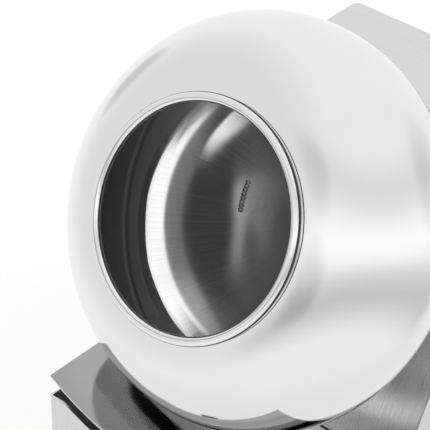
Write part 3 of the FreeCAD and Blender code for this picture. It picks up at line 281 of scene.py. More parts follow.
def number_mesh(text, height, thickness):
    """Plain printed number, centred on local Z = 0, half sunk."""
    curve = bpy.data.curves.new("number", "FONT")
    curve.body = text
    curve.size = height
    curve.align_x = "CENTER"
    curve.align_y = "CENTER"
    curve.extrude = thickness / 2
    holder = bpy.data.objects.new("number", curve)
    bpy.context.scene.collection.objects.link(holder)
    bpy.context.view_layer.update()
    data = bpy.data.meshes.new_from_object(holder)
    bpy.data.objects.remove(holder)
    bpy.data.curves.remove(curve)
    return data


def on_front(name):
    """Place on the front wall before a node's middle; local Z runs out of the wall and Y up."""
    low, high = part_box(name)
    middle = (low + high) / 2
    return Matrix.Translation((middle.x, FRONT_WALL, middle.z)) @ OUT_OF_FRONT


# Sizes and colours that a user would change

class DrumSizes(bpy.types.PropertyGroup):
    """Sizes of the drum, its rolled mouth and its weld"""
    radius: FloatProperty(
        name="Radius", description="Outside radius at the widest ring", unit="LENGTH",
        default=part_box("drum_front")[1].x)
    knuckle: FloatProperty(
        name="Knuckle radius", description="Radius of the arc from the mouth to the back", unit="LENGTH",
        default=102 * MM)
    crown_angle: FloatProperty(
        name="Crown angle", description="Where the knuckle meets the crown of the back", subtype="ANGLE",
        default=math.radians(25))
    outer_half: FloatProperty(
        name="Outer half", description="Share of the sheet that carries the buffed outside", unit="LENGTH",
        default=0.8 * MM)
    inner_half: FloatProperty(
        name="Inner half", description="Share of the sheet that carries the ground inside", unit="LENGTH",
        default=0.7 * MM)
    bead_circle: FloatProperty(
        name="Bead circle", description="Radius of the circle that the rolled mouth follows", unit="LENGTH",
        default=111.5 * MM)
    bead_reach: FloatProperty(
        name="Bead reach", description="How far the rolled mouth is from the drum's middle", unit="LENGTH",
        default=105.2 * MM)
    bead_radius: FloatProperty(
        name="Bead radius", description="Radius of the roll itself", unit="LENGTH", default=4.75 * MM)
    # The three dark and grey strips below are painted shade laid over the roll.
    seam: FloatVectorProperty(
        name="Seam", description="Start and end of the dark strip on the roll's outer flank", size=2,
        unit="ROTATION", default=(math.radians(-25), math.radians(26)))
    crease: FloatVectorProperty(
        name="Crease", description="Start and end of the grey line along the roll's front", size=2,
        unit="ROTATION", default=(math.radians(102), math.radians(110)))
    hem: FloatVectorProperty(
        name="Hem", description="Start and end of the dark strip on the roll's inner back", size=2,
        unit="ROTATION", default=(math.radians(214), math.radians(268)))
    weld_circle: FloatProperty(
        name="Weld circle", description="How far the ground weld lies from the axis", unit="LENGTH",
        default=95 * MM)
    weld_angle: FloatProperty(
        name="Weld angle", description="Where the ground weld lies round the axis", subtype="ANGLE",
        default=math.radians(185))
    weld_ripples: IntProperty(
        name="Weld ripples", description="Ripples of the short weld inside the back", default=8, min=1)
    ripple_step: FloatProperty(
        name="Ripple step", description="From ripple to ripple", unit="LENGTH", default=4 * MM)
    ripple: FloatVectorProperty(
        name="Ripple", description="Half a ripple's width, length and height", unit="LENGTH",
        default=(3.3 * MM, 2.6 * MM, 0.28 * MM))
    segments: IntProperty(
        name="Segments", description="Steps of a full turn", default=288, min=48)


class TraySizes(bpy.types.PropertyGroup):
    """Sizes of the catch tray"""
    radius: FloatProperty(
        name="Radius", description="Inside radius of the hollow sheet", unit="LENGTH", default=255 * MM)
    wall: FloatProperty(
        name="Wall", description="Thickness of the sheet", unit="LENGTH", default=1.5 * MM)
    rounding: FloatProperty(
        name="Rounding", description="Rounding of the cut edges", unit="LENGTH", default=0.35 * MM)


class CabinetSizes(bpy.types.PropertyGroup):
    """Sizes of the top's visor and of the louvres"""
    visor: FloatProperty(
        name="Visor", description="How far the top reaches forward over the drive plate", unit="LENGTH",
        default=24 * MM)
    louvres: IntProperty(name="Louvres", description="Slots in the rear cover", default=6, min=1)
    lowest: FloatProperty(
        name="Lowest louvre", description="Height of the lowest slot", unit="LENGTH", default=130 * MM)
    pitch: FloatProperty(
        name="Louvre pitch", description="From slot to slot", unit="LENGTH", default=13 * MM)
    half_length: FloatProperty(
        name="Half length", description="Half the straight length of a slot", unit="LENGTH",
        default=70 * MM)
    hood_height: FloatProperty(
        name="Hood height", description="How far a hood starts over its slot's middle", unit="LENGTH",
        default=3.6 * MM)
    hood_reach: FloatProperty(
        name="Hood reach", description="How far a hood stands out of the cover", unit="LENGTH",
        default=2.3 * MM)
    hood_end: FloatProperty(
        name="Hood end", description="How far a hood runs out at each end", unit="LENGTH", default=4 * MM)


class ControlSizes(bpy.types.PropertyGroup):
    """Sizes of the knob, its dial and the printed signs"""
    flutes: IntProperty(name="Flutes", description="Finger hollows round the knob", default=10, min=3)
    knob_radius: FloatProperty(
        name="Knob radius", description="Radius over the knob's ridges", unit="LENGTH", default=17 * MM)
    skirt_rise: FloatProperty(
        name="Skirt rise", description="Height of the knob's skirt", unit="LENGTH", default=3.6 * MM)
    dial_radius: FloatProperty(
        name="Dial radius", description="Where the dial's ticks start", unit="LENGTH", default=22.5 * MM)
    dial_steps: IntProperty(
        name="Dial steps", description="Steps over the knob's travel", default=10, min=1)
    dial_turn: FloatProperty(
        name="Dial turn", description="Travel of the knob", subtype="ANGLE", default=math.radians(270))
    mark_height: FloatProperty(
        name="Mark height", description="Height of numbers and signs", unit="LENGTH", default=5 * MM)
    ink: FloatProperty(
        name="Ink", description="Thickness of printed marks, half of it sunk", unit="LENGTH",
        default=0.14 * MM)


class StageSettings(bpy.types.PropertyGroup):
    """Place of the camera and level of the light"""
    azimuth: FloatProperty(
        name="Azimuth", description="How far the camera stands to the right of the front", subtype="ANGLE",
        default=math.radians(41.28))
    elevation: FloatProperty(
        name="Elevation", description="How far the camera looks down", subtype="ANGLE",
        default=math.radians(35.54))
    distance: FloatProperty(
        name="Distance", description="From the camera to its aim", unit="LENGTH", default=2.6)
    lens: FloatProperty(
        name="Lens", description="Focal length in millimetres on a 36 mm sensor", default=231.8)
    aside: FloatProperty(
        name="Aside", description="How far the aim lies left of the drum's middle", unit="LENGTH",
        default=40.2 * MM)
    above: FloatProperty(
        name="Above", description="How far the aim lies over the drum's middle", unit="LENGTH",
        default=6.6 * MM)
    room: FloatProperty(
        name="Room", description="Light that comes from every side", default=0.045, min=0.0)
    tent: FloatProperty(
        name="Tent", description="Light of the white tent round the machine", default=0.97, min=0.0)


class FinishColours(bpy.types.PropertyGroup):
    """Colours of the finishes, as sRGB hex values"""
    buffed: StringProperty(name="Buffed stainless", description="Outside of the drum", default="#E8E8E8")
    ground: StringProperty(name="Ground stainless", description="Inside of the drum", default="#E4E4E4")
    bright: StringProperty(name="Bright stainless", description="Catch tray", default="#BEBEBE")
    satin: StringProperty(name="Satin stainless", description="Walls of the cabinet", default="#DCDCDC")
    start: StringProperty(name="Start", description="Start button", default="#2F8F4A")
    stop: StringProperty(name="Stop", description="Stop button", default="#B52A22")
    lens: StringProperty(name="Lens", description="Indicator lens", default="#E08A1E")


class CoatingPanSettings(bpy.types.PropertyGroup):
    """All sizes and colours of the coating pan"""
    drum: PointerProperty(type=DrumSizes)
    tray: PointerProperty(type=TraySizes)
    cabinet: PointerProperty(type=CabinetSizes)
    controls: PointerProperty(type=ControlSizes)
    stage: PointerProperty(type=StageSettings)
    colours: PointerProperty(type=FinishColours)


def settings():
    """The sizes and colours of this scene."""
    return bpy.context.scene.coating_pan


# Patterns that several finishes share

def drum_place(tree):
    """Object coordinates in the drum's own frame, in metres."""
    return add(tree, "Mapping", {
        "Vector": add(tree, "TexCoord", out="Object"), "Location": DRUM_CENTRE,
        "Rotation": DRUM_TURN.to_euler()}, vector_type="TEXTURE")


def round_the_axis(tree, local):
    """World direction that runs round the drum's axis, and in the drum's frame the one out of the axis."""
    flat = add(tree, "VectorMath", (local, (1, 1, 0)), operation="MULTIPLY")
    spoke = add(tree, "VectorMath", (flat,), operation="NORMALIZE")
    place = add(tree, "TexCoord", out="Object")
    arm = add(tree, "VectorMath", (place, DRUM_CENTRE), operation="SUBTRACT")
    across = add(tree, "VectorMath", (DRUM_AXIS, arm), operation="CROSS_PRODUCT")
    world_way = add(tree, "VectorTransform", (across,), vector_type="VECTOR",
                    convert_from="OBJECT", convert_to="WORLD")
    return add(tree, "VectorMath", (world_way,), operation="NORMALIZE"), spoke


def hairlines(tree, pitch, along=(1, 1, 1), seed=0.0):
    """Grain of a pitch in metres; a small factor draws it out to long scratches along X, Y or Z."""
    drawn = add(tree, "Mapping", {
        "Vector": add(tree, "TexCoord", out="Object"), "Location": (seed, seed, seed), "Scale": along})
    return add(tree, "TexNoise", {
        "Vector": drawn, "Scale": 1 / pitch, "Detail": 3.0, "Roughness": 0.65})


def shade(tree, code, value, low):
    """The hex colour, darkened to a share of itself where a pattern is low."""
    light = srgb(code)
    dark = tuple(part * low for part in light[:3]) + (1.0,)
    # A Mix node has its factor first, its numbers at 2 and 3, and its colours at 6 and 7 with output 2.
    return add(tree, "Mix", {0: value, 6: dark, 7: light}, 2, data_type="RGBA")


def grained(name, code, pitch, dark, gloss, metal=1.0, relief=0.0, along=(1, 1, 1)):
    """Finish of one fine grain, which darkens the colour, varies the gloss and may stand out as relief."""
    made, tree = fresh_material(name)
    grain = hairlines(tree, pitch, along)
    return close_material(made, {"Base Color": shade(tree, code, grain, dark), "Metallic": metal},
                          (grain, *gloss), (grain, relief) if relief else ())


# Finishes

def buffed_stainless():
    """Stainless sheet, spun and buffed: a mirror with a breath of haze from the buffing wheel."""
    made, tree = fresh_material("stainless_spun_and_buffed")
    cloud = add(tree, "TexNoise", {
        "Vector": drum_place(tree), "Scale": 1 / (71.43 * MM), "Detail": 3.0})
    return close_material(made, {
        "Base Color": shade(tree, settings().colours.buffed, cloud, 0.97), "Metallic": 1.0},
        (cloud, 0.06, 0.1))


def ground_stainless():
    """Inside of the drum, ground across with a belt: hairlines from mouth to back, light spreads round."""
    made, tree = fresh_material("stainless_belt_ground_inside")
    size = settings().drum
    # Depths of the relief, in millimetres.
    belt_flat, ridge_height, scratch = 1.1, 0.35, 0.011
    local = drum_place(tree)
    round_way, spoke = round_the_axis(tree, local)
    # Scratches 1.2 mm apart at the widest ring; the real ones are finer and would not show.
    fine = add(tree, "TexNoise", {
        "Vector": spoke, "Scale": size.radius / (1.17647 * MM), "Detail": 2.0, "Roughness": 0.7})
    patches = add(tree, "TexNoise", {"Vector": local, "Scale": 1 / (45.455 * MM), "Detail": 3.0})
    streak = add(tree, "Math", (fine, patches), operation="MULTIPLY")
    # The belt reached from the back to an edge that comes nearest to the mouth on one side.
    depth = add(tree, "VectorMath", (local, (0, 0, 1)), "Value", operation="DOT_PRODUCT")
    near_angle = math.radians(207)
    near_side = Vector((math.cos(near_angle), math.sin(near_angle), 0))
    facing = add(tree, "VectorMath", (spoke, near_side), "Value", operation="DOT_PRODUCT")
    far_off, close_by = math.cos(math.radians(49)), math.cos(math.radians(12))
    edge = add(tree, "MapRange", (facing, far_off, close_by, -76 * MM, -62.3 * MM))
    past = add(tree, "Math", (depth, edge), operation="SUBTRACT")
    # Past the edge the wall is left as spun, smooth and a little duller.
    spun = add(tree, "MapRange", (past, -4 * MM, 4 * MM))
    # Before the edge the belt leaves a flat, deepest at the edge.
    low_side = Vector((-near_side.y, near_side.x, 0))
    lean = add(tree, "VectorMath", (spoke, low_side), "Value", operation="DOT_PRODUCT")
    begin = add(tree, "MapRange", (lean, 0.15, 0.6, -73 * MM, -78.5 * MM))
    onwards = add(tree, "Math", (depth, begin), operation="SUBTRACT")
    run = add(tree, "MapRange", (onwards, 0.0, 10.5 * MM))
    hollow = add(tree, "Math", (run, run), operation="MULTIPLY")
    stop = add(tree, "MapRange", (past, 0.0, 6 * MM, -belt_flat, 0.0))
    flat = add(tree, "Math", (hollow, stop), operation="MULTIPLY")
    # A low ridge runs round, 44 mm behind the widest ring.
    off = add(tree, "Math", (depth, 44 * MM), operation="ADD")
    gap = add(tree, "Math", (off,), operation="ABSOLUTE")
    ridge = add(tree, "MapRange", (gap, 0.5 * MM, 3.5 * MM, 1.0, 0.0))
    shape = add(tree, "Math", (ridge, ridge_height, flat), operation="MULTIPLY_ADD")
    # Beside the weld the grinder went to and fro along it, 0.9 mm from stroke to stroke.
    worn_spot = inside_back(size.weld_circle - 20 * MM, size.weld_angle).translation
    near = add(tree, "VectorMath", (local, worn_spot), "Value", operation="DISTANCE")
    worn = add(tree, "MapRange", (near, 10 * MM, 32 * MM, 1.0, 0.0))
    slant = add(tree, "Mapping", {
        "Vector": local, "Rotation": (0, 0, math.radians(8)), "Scale": (1, 0.05, 0.05)})
    strokes = add(tree, "TexNoise", {"Vector": slant, "Scale": 1 / (0.9 * MM), "Detail": 2.0})
    duller = add(tree, "MapRange", (strokes, *NOISE, 0.0, 0.09))
    patch = add(tree, "Math", (worn, duller), operation="MULTIPLY")
    # Roughness of the ground wall, and how much more there is where the wall is left as spun.
    belt = add(tree, "MapRange", (streak, 0.15, 0.35, 0.1, 0.16))
    wall = add(tree, "Math", (spun, 0.26, belt), operation="MULTIPLY_ADD")
    # The spun wall is even and pale; it is paler still on the ridge, a painted highlight line.
    spun_tone_and_ridge_highlight = add(tree, "Math", (ridge, 0.1, 0.9), operation="MULTIPLY_ADD")
    lines = add(tree, "Mix", {0: spun, 2: fine, 3: spun_tone_and_ridge_highlight})
    scored = add(tree, "Mix", {0: worn, 2: lines, 3: strokes})
    # Scratches are deepest at the wall and shallower where they crowd together at the axis.
    radius = add(tree, "VectorMath", (local, spoke), "Value", operation="DOT_PRODUCT")
    cut = add(tree, "MapRange", (radius, 10 * MM, 150 * MM, 0.0, scratch))
    height = add(tree, "Math", (lines, cut, shape), operation="MULTIPLY_ADD")
    tone = add(tree, "MapRange", (scored, *NOISE))
    return close_material(made, {
        "Base Color": shade(tree, settings().colours.ground, tone, 0.87), "Metallic": 1.0,
        "Roughness": add(tree, "Math", (wall, patch), operation="ADD"), "Anisotropic": 0.8,
        "Tangent": round_way}, relief=(height, 1 * MM))


def ground_weld():
    """Weld bead inside the back, ground nearly flush: scratched round the axis, duller than the sheet."""
    made, tree = fresh_material("stainless_ground_weld")
    local = drum_place(tree)
    reach = add(tree, "VectorMath", (local,), "Value", operation="LENGTH")
    # Scratches 1.1 mm apart; the real ones are finer and would not show.
    rings = add(tree, "TexNoise", {"W": reach, "Scale": 1 / (1.1111 * MM), "Detail": 2.0},
                noise_dimensions="1D")
    pits = add(tree, "TexNoise", {"Vector": local, "Scale": 1 / (6.25 * MM), "Detail": 3.0})
    return close_material(made, {
        "Base Color": shade(tree, settings().colours.ground, rings, 0.85), "Metallic": 1.0},
        (pits, 0.14, 0.22), (pits, 0.03 * MM))


def closed_seam():
    """Dark strips laid over the roll: painted shade in the crevice where the roll closes on the wall, and
    on the roll's inner back.
    """
    return grained("dark_strip_painted_shade", "#2E2E2E", 1.5 * MM, 0.5, (0.45, 0.7), metal=0.0)


def rolled_crease():
    """Grey strip where the roll is finely creased along its front: the same sheet, a little duller, its
    grey a painted shade.
    """
    return grained("stainless_crease_painted_shade", "#A8A8A8", 2 * MM, 0.85, (0.3, 0.4))


def bright_stainless():
    """Cold-rolled bright sheet of the tray: a darker mirror with rolling lines along its length."""
    made, tree = fresh_material("stainless_cold_rolled_bright")
    lines = hairlines(tree, 1.4 * MM, (0.02, 1, 0.02))
    cloud = hairlines(tree, 40 * MM)
    return close_material(made, {
        "Base Color": shade(tree, settings().colours.bright, lines, 0.92), "Metallic": 1.0},
        (cloud, 0.05, 0.1))


def sheared_edge():
    """Cut edge of the tray, filed smooth: duller than the sheet, with file strokes across; its paler colour
    is a painted highlight along the edge.
    """
    return grained("stainless_filed_edge_painted_highlight", "#F0F0F0", 0.9 * MM, 0.9, (0.35, 0.5), along=(1, 0.1, 1))


def satin_stainless(name, along, across):
    """Satin sheet of the cabinet: fine lines one way, so that highlights spread the other way."""
    made, tree = fresh_material(name)
    # Lines 1 mm apart; the real ones are finer and would not show.
    lines = hairlines(tree, 1 * MM, along)
    cloud = hairlines(tree, 60 * MM, seed=3.0)
    tone = add(tree, "MapRange", (lines, *NOISE))
    return close_material(made, {
        "Base Color": shade(tree, settings().colours.satin, tone, 0.93), "Metallic": 1.0,
        "Anisotropic": 0.5, "Tangent": add(tree, "CombineXYZ", across)},
        (cloud, 0.3, 0.38), (lines, 0.012 * MM))


def brushed_plate():
    """Drive plate, brushed up and down its slope: strong hairlines and highlights drawn out sideways."""
    made, tree = fresh_material("stainless_plate_brushed")
    # Turned so that the lines follow the slope; 1.1 mm apart so that they show.
    local = add(tree, "Mapping", {
        "Vector": add(tree, "TexCoord", out="Object"), "Rotation": DRUM_TURN.to_euler()},
        vector_type="TEXTURE")
    drawn = add(tree, "VectorMath", (local, (1, 0.015, 0.2)), operation="MULTIPLY")
    lines = add(tree, "TexNoise", {
        "Vector": drawn, "Scale": 1 / (1.1 * MM), "Detail": 3.0, "Roughness": 0.7})
    tone = add(tree, "MapRange", (lines, *NOISE))
    return close_material(made, {
        "Base Color": shade(tree, "#F4F4F4", tone, 0.84), "Metallic": 1.0,
        "Anisotropic": 0.6, "Tangent": add(tree, "CombineXYZ", SIDEWAYS)},
        (lines, 0.34, 0.24), (lines, 0.03 * MM))


def turned_steel():
    """Carbon steel from the lathe: fine rings about the drum's axis, slightly oily."""
    made, tree = fresh_material("steel_turned")
    flat = add(tree, "VectorMath", (drum_place(tree), (1, 1, 0)), operation="MULTIPLY")
    reach = add(tree, "VectorMath", (flat,), "Value", operation="LENGTH")
    # Rings 0.9 mm apart; the real ones are finer and would not show.
    rings = add(tree, "TexNoise", {"W": reach, "Scale": 1 / (0.90909 * MM), "Detail": 2.0},
                noise_dimensions="1D")
    stain = hairlines(tree, 15 * MM)
    return close_material(made, {"Base Color": shade(tree, "#B9B8B5", stain, 0.8), "Metallic": 1.0},
                          (rings, 0.22, 0.34), (rings, 0.02 * MM))


def zinc_plate():
    """Zinc-plated fasteners: pale blue-grey metal with a cloudy passivated film."""
    made, tree = fresh_material("zinc_plated_steel")
    film = hairlines(tree, 3 * MM)
    tint = add(tree, "Mix", {0: film, 6: srgb("#C6CACD"), 7: srgb("#D3D1C8")}, 2, data_type="RGBA")
    return close_material(made, {"Base Color": tint, "Metallic": 1.0}, (film, 0.22, 0.36))


def cast_aluminium():
    """Die-cast aluminium, bead-blasted: pale, matt and finely pebbled."""
    made, tree = fresh_material("aluminium_cast_blasted")
    grain = hairlines(tree, 0.9 * MM)
    cloud = hairlines(tree, 30 * MM, seed=1.0)
    return close_material(made, {"Base Color": shade(tree, "#C3C4C4", cloud, 0.85), "Metallic": 1.0},
                          (grain, 0.42, 0.58), (grain, 0.05 * MM))


def gear_bronze():
    """Cast tin bronze, hobbed: warm yellow metal with a soft sheen."""
    return grained("bronze_hobbed", "#C99A55", 2 * MM, 0.8, (0.26, 0.4))


def lamination_steel():
    """Stacked electrical sheets: thin dark lines across the motor's axis."""
    made, tree = fresh_material("electrical_steel_laminated")
    place = add(tree, "TexCoord", out="Object")
    height = add(tree, "VectorMath", (place, PLATE_RISE), "Value", operation="DOT_PRODUCT")
    # One sheet and its gap every 4 mm; real sheets of 0.5 mm would not show.
    sheets = add(tree, "Math", (height, 2 * MM), operation="PINGPONG")
    lines = add(tree, "MapRange", (sheets, 0.0, 0.5 * MM))
    return close_material(made, {"Base Color": shade(tree, "#85878A", lines, 0.3), "Metallic": 1.0},
                          (hairlines(tree, 4 * MM), 0.35, 0.5))


def powder_coat():
    """Powder-coated sheet: mid grey with a low orange-peel relief."""
    return grained("steel_powder_coated", "#6E7275", 1.6 * MM, 0.9, (0.4, 0.5), metal=0.0,
                   relief=0.06 * MM)


def black_rubber():
    """Moulded nitrile rubber: matt black with a pale bloom and some dust."""
    made, tree = fresh_material("rubber_moulded_black")
    grain = hairlines(tree, 0.8 * MM)
    dust = add(tree, "MapRange", (hairlines(tree, 12 * MM, seed=2.0), *NOISE, 0.0, 0.5))
    tint = add(tree, "Mix", {0: dust, 6: srgb("#1D1D1E"), 7: srgb("#333334")}, 2, data_type="RGBA")
    return close_material(made, {"Base Color": tint}, (grain, 0.62, 0.8), (grain, 0.06 * MM))


def moulded_plastic(name, code, gloss):
    """Injection-moulded ABS or nylon: even colour, a fine spark-eroded texture and a soft gloss."""
    # Texture of 0.7 mm; the real one is finer and would not show.
    return grained(name, code, 0.7 * MM, 0.88, (gloss, gloss + 0.12), metal=0.0, relief=0.02 * MM)


def circuit_board():
    """Glass-epoxy board under green solder mask, with paler copper runs below it."""
    made, tree = fresh_material("glass_epoxy_solder_mask")
    runs = add(tree, "TexBrick", {
        "Vector": add(tree, "TexCoord", out="Object"), "Color1": srgb("#0E4A2A"),
        "Color2": srgb("#115230"), "Mortar": srgb("#2C7A4C"), "Scale": 1 / (12 * MM), "Mortar Size": 0.03})
    return close_material(made, {"Base Color": runs}, (hairlines(tree, 2 * MM), 0.3, 0.42))


def chromed_brass():
    """Nickel-chromed brass of bezels: bright mirror with a faint haze."""
    return grained("brass_chromed", "#D2D3D5", 5 * MM, 0.93, (0.1, 0.18))


def amber_lens():
    """Polycarbonate lens, moulded with prisms: clear amber, darker where the prisms meet."""
    made, tree = fresh_material("polycarbonate_amber")
    prisms = add(tree, "TexVoronoi", {
        "Vector": add(tree, "TexCoord", out="Object"), "Scale": 1 / (1.6 * MM)}, "Distance")
    facets = add(tree, "MapRange", (prisms, 0.0, 0.8, 1.0, 0.0))
    return close_material(made, {
        "Base Color": shade(tree, settings().colours.lens, facets, 0.6),
        "Roughness": 0.12, "IOR": 1.58, "Transmission Weight": 0.35}, relief=(prisms, 0.1 * MM))


def white_print():
    """Pad-printed marks: flat white ink, slightly worn."""
    made, tree = fresh_material("ink_pad_printed_white")
    return close_material(made, {
        "Base Color": shade(tree, "#E9E9E6", hairlines(tree, 0.8 * MM), 0.85), "Roughness": 0.55})


def dark_print():
    """Etched and blackened dial marks on stainless: matt and slightly uneven."""
    return grained("stainless_etched_black", "#2B2B2C", 0.8 * MM, 0.7, (0.45, 0.6), metal=0.0)


# Steps

def inside_back(radius, angle):
    """Place on the drum's inside back in the drum's frame; local Z points into the drum, Y runs round."""
    size = settings().drum
    ring = size.radius - size.knuckle
    crown = ring / math.tan(size.crown_angle)
    bend = ring / math.sin(size.crown_angle) + size.knuckle - size.outer_half - size.inner_half
    out = Vector((math.cos(angle), math.sin(angle), 0))
    spot = out * radius + Vector((0, 0, crown - math.sqrt(bend ** 2 - radius ** 2)))
    inwards = (Vector((0, 0, crown)) - spot).normalized()
    around = Vector((-out.y, out.x, 0))
    turn = Matrix((around.cross(inwards), around, inwards)).transposed().to_4x4()
    return Matrix.Translation(spot) @ turn


class PAN_OT_drum(bpy.types.Operator):
    """Builds the spun drum, its ground inside, the rolled mouth and the ground weld"""
    bl_idname = "coating_pan.drum"
    bl_label = "Drum"

    def execute(self, context):
        size = settings().drum
        buffed = buffed_stainless()
        strip_shade = closed_seam()
        self.half_wall("drum_outside", 0.0, size.outer_half, buffed, ("drum_front", "drum_back"))
        self.half_wall("drum_inside", size.outer_half, size.inner_half, ground_stainless(), ())
        mouth = Vector((size.bead_circle, 0, size.bead_reach))
        self.roll("rolled_mouth", mouth, buffed, ("mouth_bead",))
        # The dark and grey strips over the roll are painted shade: in the crevice at the wall, along a fine
        # fold at the front, and on the roll's inner back.
        self.strip("mouth_seam", mouth, size.seam, strip_shade)
        self.strip("mouth_crease", mouth, size.crease, rolled_crease())
        self.strip("mouth_hem", mouth, size.hem, strip_shade)
        self.weld()
        return {"FINISHED"}

    def spin(self, name, mesh, material, replaced=()):
        """Turns an outline about the drum's axis and sets it in place."""
        full_turn(mesh, settings().drum.segments)
        mesh.transform(DRUM_FRAME)
        return make_piece(name, mesh, "drum", material, replaced)

    def half_wall(self, name, depth, wall, material, replaced):
        """One side of the spun sheet, from the mouth over the knuckle to the crown of the back."""
        size = settings().drum
        ring = size.radius - size.knuckle
        knuckle = size.knuckle - depth
        lip = math.asin((size.bead_circle - ring) / size.knuckle)
        crown = ring / math.tan(size.crown_angle)
        mesh = bmesh.new()
        start = mesh.verts.new((ring + knuckle * math.sin(lip), 0, knuckle * math.cos(lip)))
        waist = arc(mesh, start, (ring, 0, 0), (0, 1, 0), math.pi - lip - size.crown_angle, 72)
        pole = arc(mesh, waist, (0, 0, crown), (0, 1, 0), size.crown_angle, 24)
        pole.co.x = 0
        thicken(self.spin(name, mesh, material, replaced), wall)

    def roll(self, name, centre, material, replaced):
        """Rolled edge: a round bar bent to a ring about the drum's axis."""
        mesh = bmesh.new()
        start = mesh.verts.new(centre + Vector((settings().drum.bead_radius, 0, 0)))
        bmesh.ops.spin(mesh, geom=[start], cent=centre, axis=(0, 1, 0), angle=math.tau, steps=32,
                       use_merge=True)
        self.spin(name, mesh, material, replaced)

    def strip(self, name, centre, angles, material):
        """Thin band round the roll, between two angles from the outside of the mouth to its front."""
        start, end = angles
        aim = Vector((math.cos(start), 0, math.sin(start)))
        reach = settings().drum.bead_radius
        half = 0.1 * MM
        mesh = bmesh.new()
        feet = [mesh.verts.new(centre + aim * (reach + rise)) for rise in (-half, half)]
        tips = [arc(mesh, foot, centre, (0, -1, 0), end - start, 8) for foot in feet]
        mesh.edges.new(feet)
        mesh.edges.new(tips)
        self.spin(name, mesh, material)

    def weld(self):
        """Short weld inside the back, ground down to a row of flat ripples."""
        size = settings().drum
        mesh = bmesh.new()
        bmesh.ops.create_uvsphere(mesh, u_segments=20, v_segments=10, radius=1.0,
                                  matrix=Matrix.Diagonal((*size.ripple, 1)))
        step = size.ripple_step / size.weld_circle
        first = size.weld_angle - step * (size.weld_ripples - 1) / 2
        set_at(mesh, [inside_back(size.weld_circle, first + step * ripple)
                      for ripple in range(size.weld_ripples)])
        mesh.transform(DRUM_FRAME)
        make_piece("ground_weld", mesh, "drum", ground_weld())


class PAN_OT_tray(bpy.types.Operator):
    """Builds the curved catch tray"""
    bl_idname = "coating_pan.tray"
    bl_label = "Catch tray"

    def execute(self, context):
        size = settings().tray
        low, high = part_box("catch_tray")
        length = high.y - low.y
        outer = size.radius + size.wall
        centre = Vector((0, low.y, low.z + outer))
        half = math.asin(high.x / outer)
        mesh = bmesh.new()
        corners = [mesh.verts.new(centre + Vector((0, depth, -radius))) for depth, radius in (
            (0, size.radius), (length, size.radius), (length, outer), (0, outer))]
        end = mesh.faces.new(corners)
        bmesh.ops.rotate(mesh, cent=centre, matrix=Matrix.Rotation(half, 3, "Y"), verts=corners)
        bmesh.ops.spin(mesh, geom=[end], cent=centre, axis=(0, -1, 0), angle=2 * half, steps=96)
        bmesh.ops.recalc_face_normals(mesh, faces=mesh.faces[:])
        # The cut edges at the front and the back take the second material, whose pale colour is a painted
        # highlight.
        for face in mesh.faces:
            face.material_index = int(abs(face.normal.y) > 0.9)
        piece = make_piece("tray_sheet", mesh, "tray", bright_stainless(),
                           ("catch_tray",), size.rounding)
        piece.data.materials.append(sheared_edge())
        return {"FINISHED"}


class PAN_OT_cabinet(bpy.types.Operator):
    """Rounds and finishes the sheets of the cabinet, and presses hoods over the louvres"""
    bl_idname = "coating_pan.cabinet"
    bl_label = "Cabinet"

    def execute(self, context):
        wall = satin_stainless("stainless_sheet_satin_upright", (1, 1, 0.012), SIDEWAYS)
        level = satin_stainless("stainless_sheet_satin_level", (0.012, 1, 1), Vector((0, 1, 0)))
        slot = "brushed_stainless"
        soften(wall, slot, 0.5 * MM, "chassis_shell", "rear_cover", "cradle_ribs")
        soften(level, slot, 0.4 * MM, "deck_pan")
        soften(brushed_plate(), slot, 0.5 * MM, "drive_plate")
        dress(level, "base_plate")
        self.top(level, slot)
        self.hoods(wall, slot)
        return {"FINISHED"}

    def top(self, material, slot):
        """Top sheet, with its front edge drawn forward over the drive plate as a visor."""
        mesh = joined_copy("top_cover")
        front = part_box("top_cover")[0].y
        edge = [corner for corner in mesh.verts if corner.co.y < front + 1 * MM]
        bmesh.ops.translate(mesh, vec=(0, -settings().cabinet.visor, 0), verts=edge)
        make_piece("top_cover_skin", mesh, body_of("top_cover"), material, ("top_cover",), 0.6 * MM)

    def hoods(self, material, slot):
        """Hoods pressed out of the rear cover over its slots, open below."""
        size = settings().cabinet
        curl = math.radians(-105)
        flattened = 0.05
        mesh = bmesh.new()
        start = mesh.verts.new((-size.half_length, 0, size.hood_height))
        arc(mesh, start, (-size.half_length, 0, 0), (1, 0, 0), curl, 8)
        bmesh.ops.scale(mesh, vec=(1, size.hood_reach / size.hood_height, 1), verts=mesh.verts[:])
        left = mesh.edges[:]
        right = self.drawn(mesh, left, 2 * size.half_length, 1.0)
        self.drawn(mesh, left, -size.hood_end, flattened)
        self.drawn(mesh, right, size.hood_end, flattened)
        bmesh.ops.recalc_face_normals(mesh, faces=mesh.faces[:])
        if sum(face.normal.y for face in mesh.faces) < 0:
            bmesh.ops.reverse_faces(mesh, faces=mesh.faces[:])
        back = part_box("rear_cover")[1].y
        set_at(mesh, [Matrix.Translation((0, back, size.lowest + size.pitch * row))
                      for row in range(size.louvres)])
        thicken(make_piece("louvre_hoods", mesh, body_of("rear_cover"), material), 0.5 * MM)

    def drawn(self, mesh, edges, reach, share):
        """Extrudes edges along X, flattens their far side to a share of its depth and returns it."""
        grown = bmesh.ops.extrude_edge_only(mesh, edges=edges)["geom"]
        corners = picked(grown, bmesh.types.BMVert)
        bmesh.ops.translate(mesh, vec=(reach, 0, 0), verts=corners)
        bmesh.ops.scale(mesh, vec=(1, share, 1), verts=corners)
        return picked(grown, bmesh.types.BMEdge)


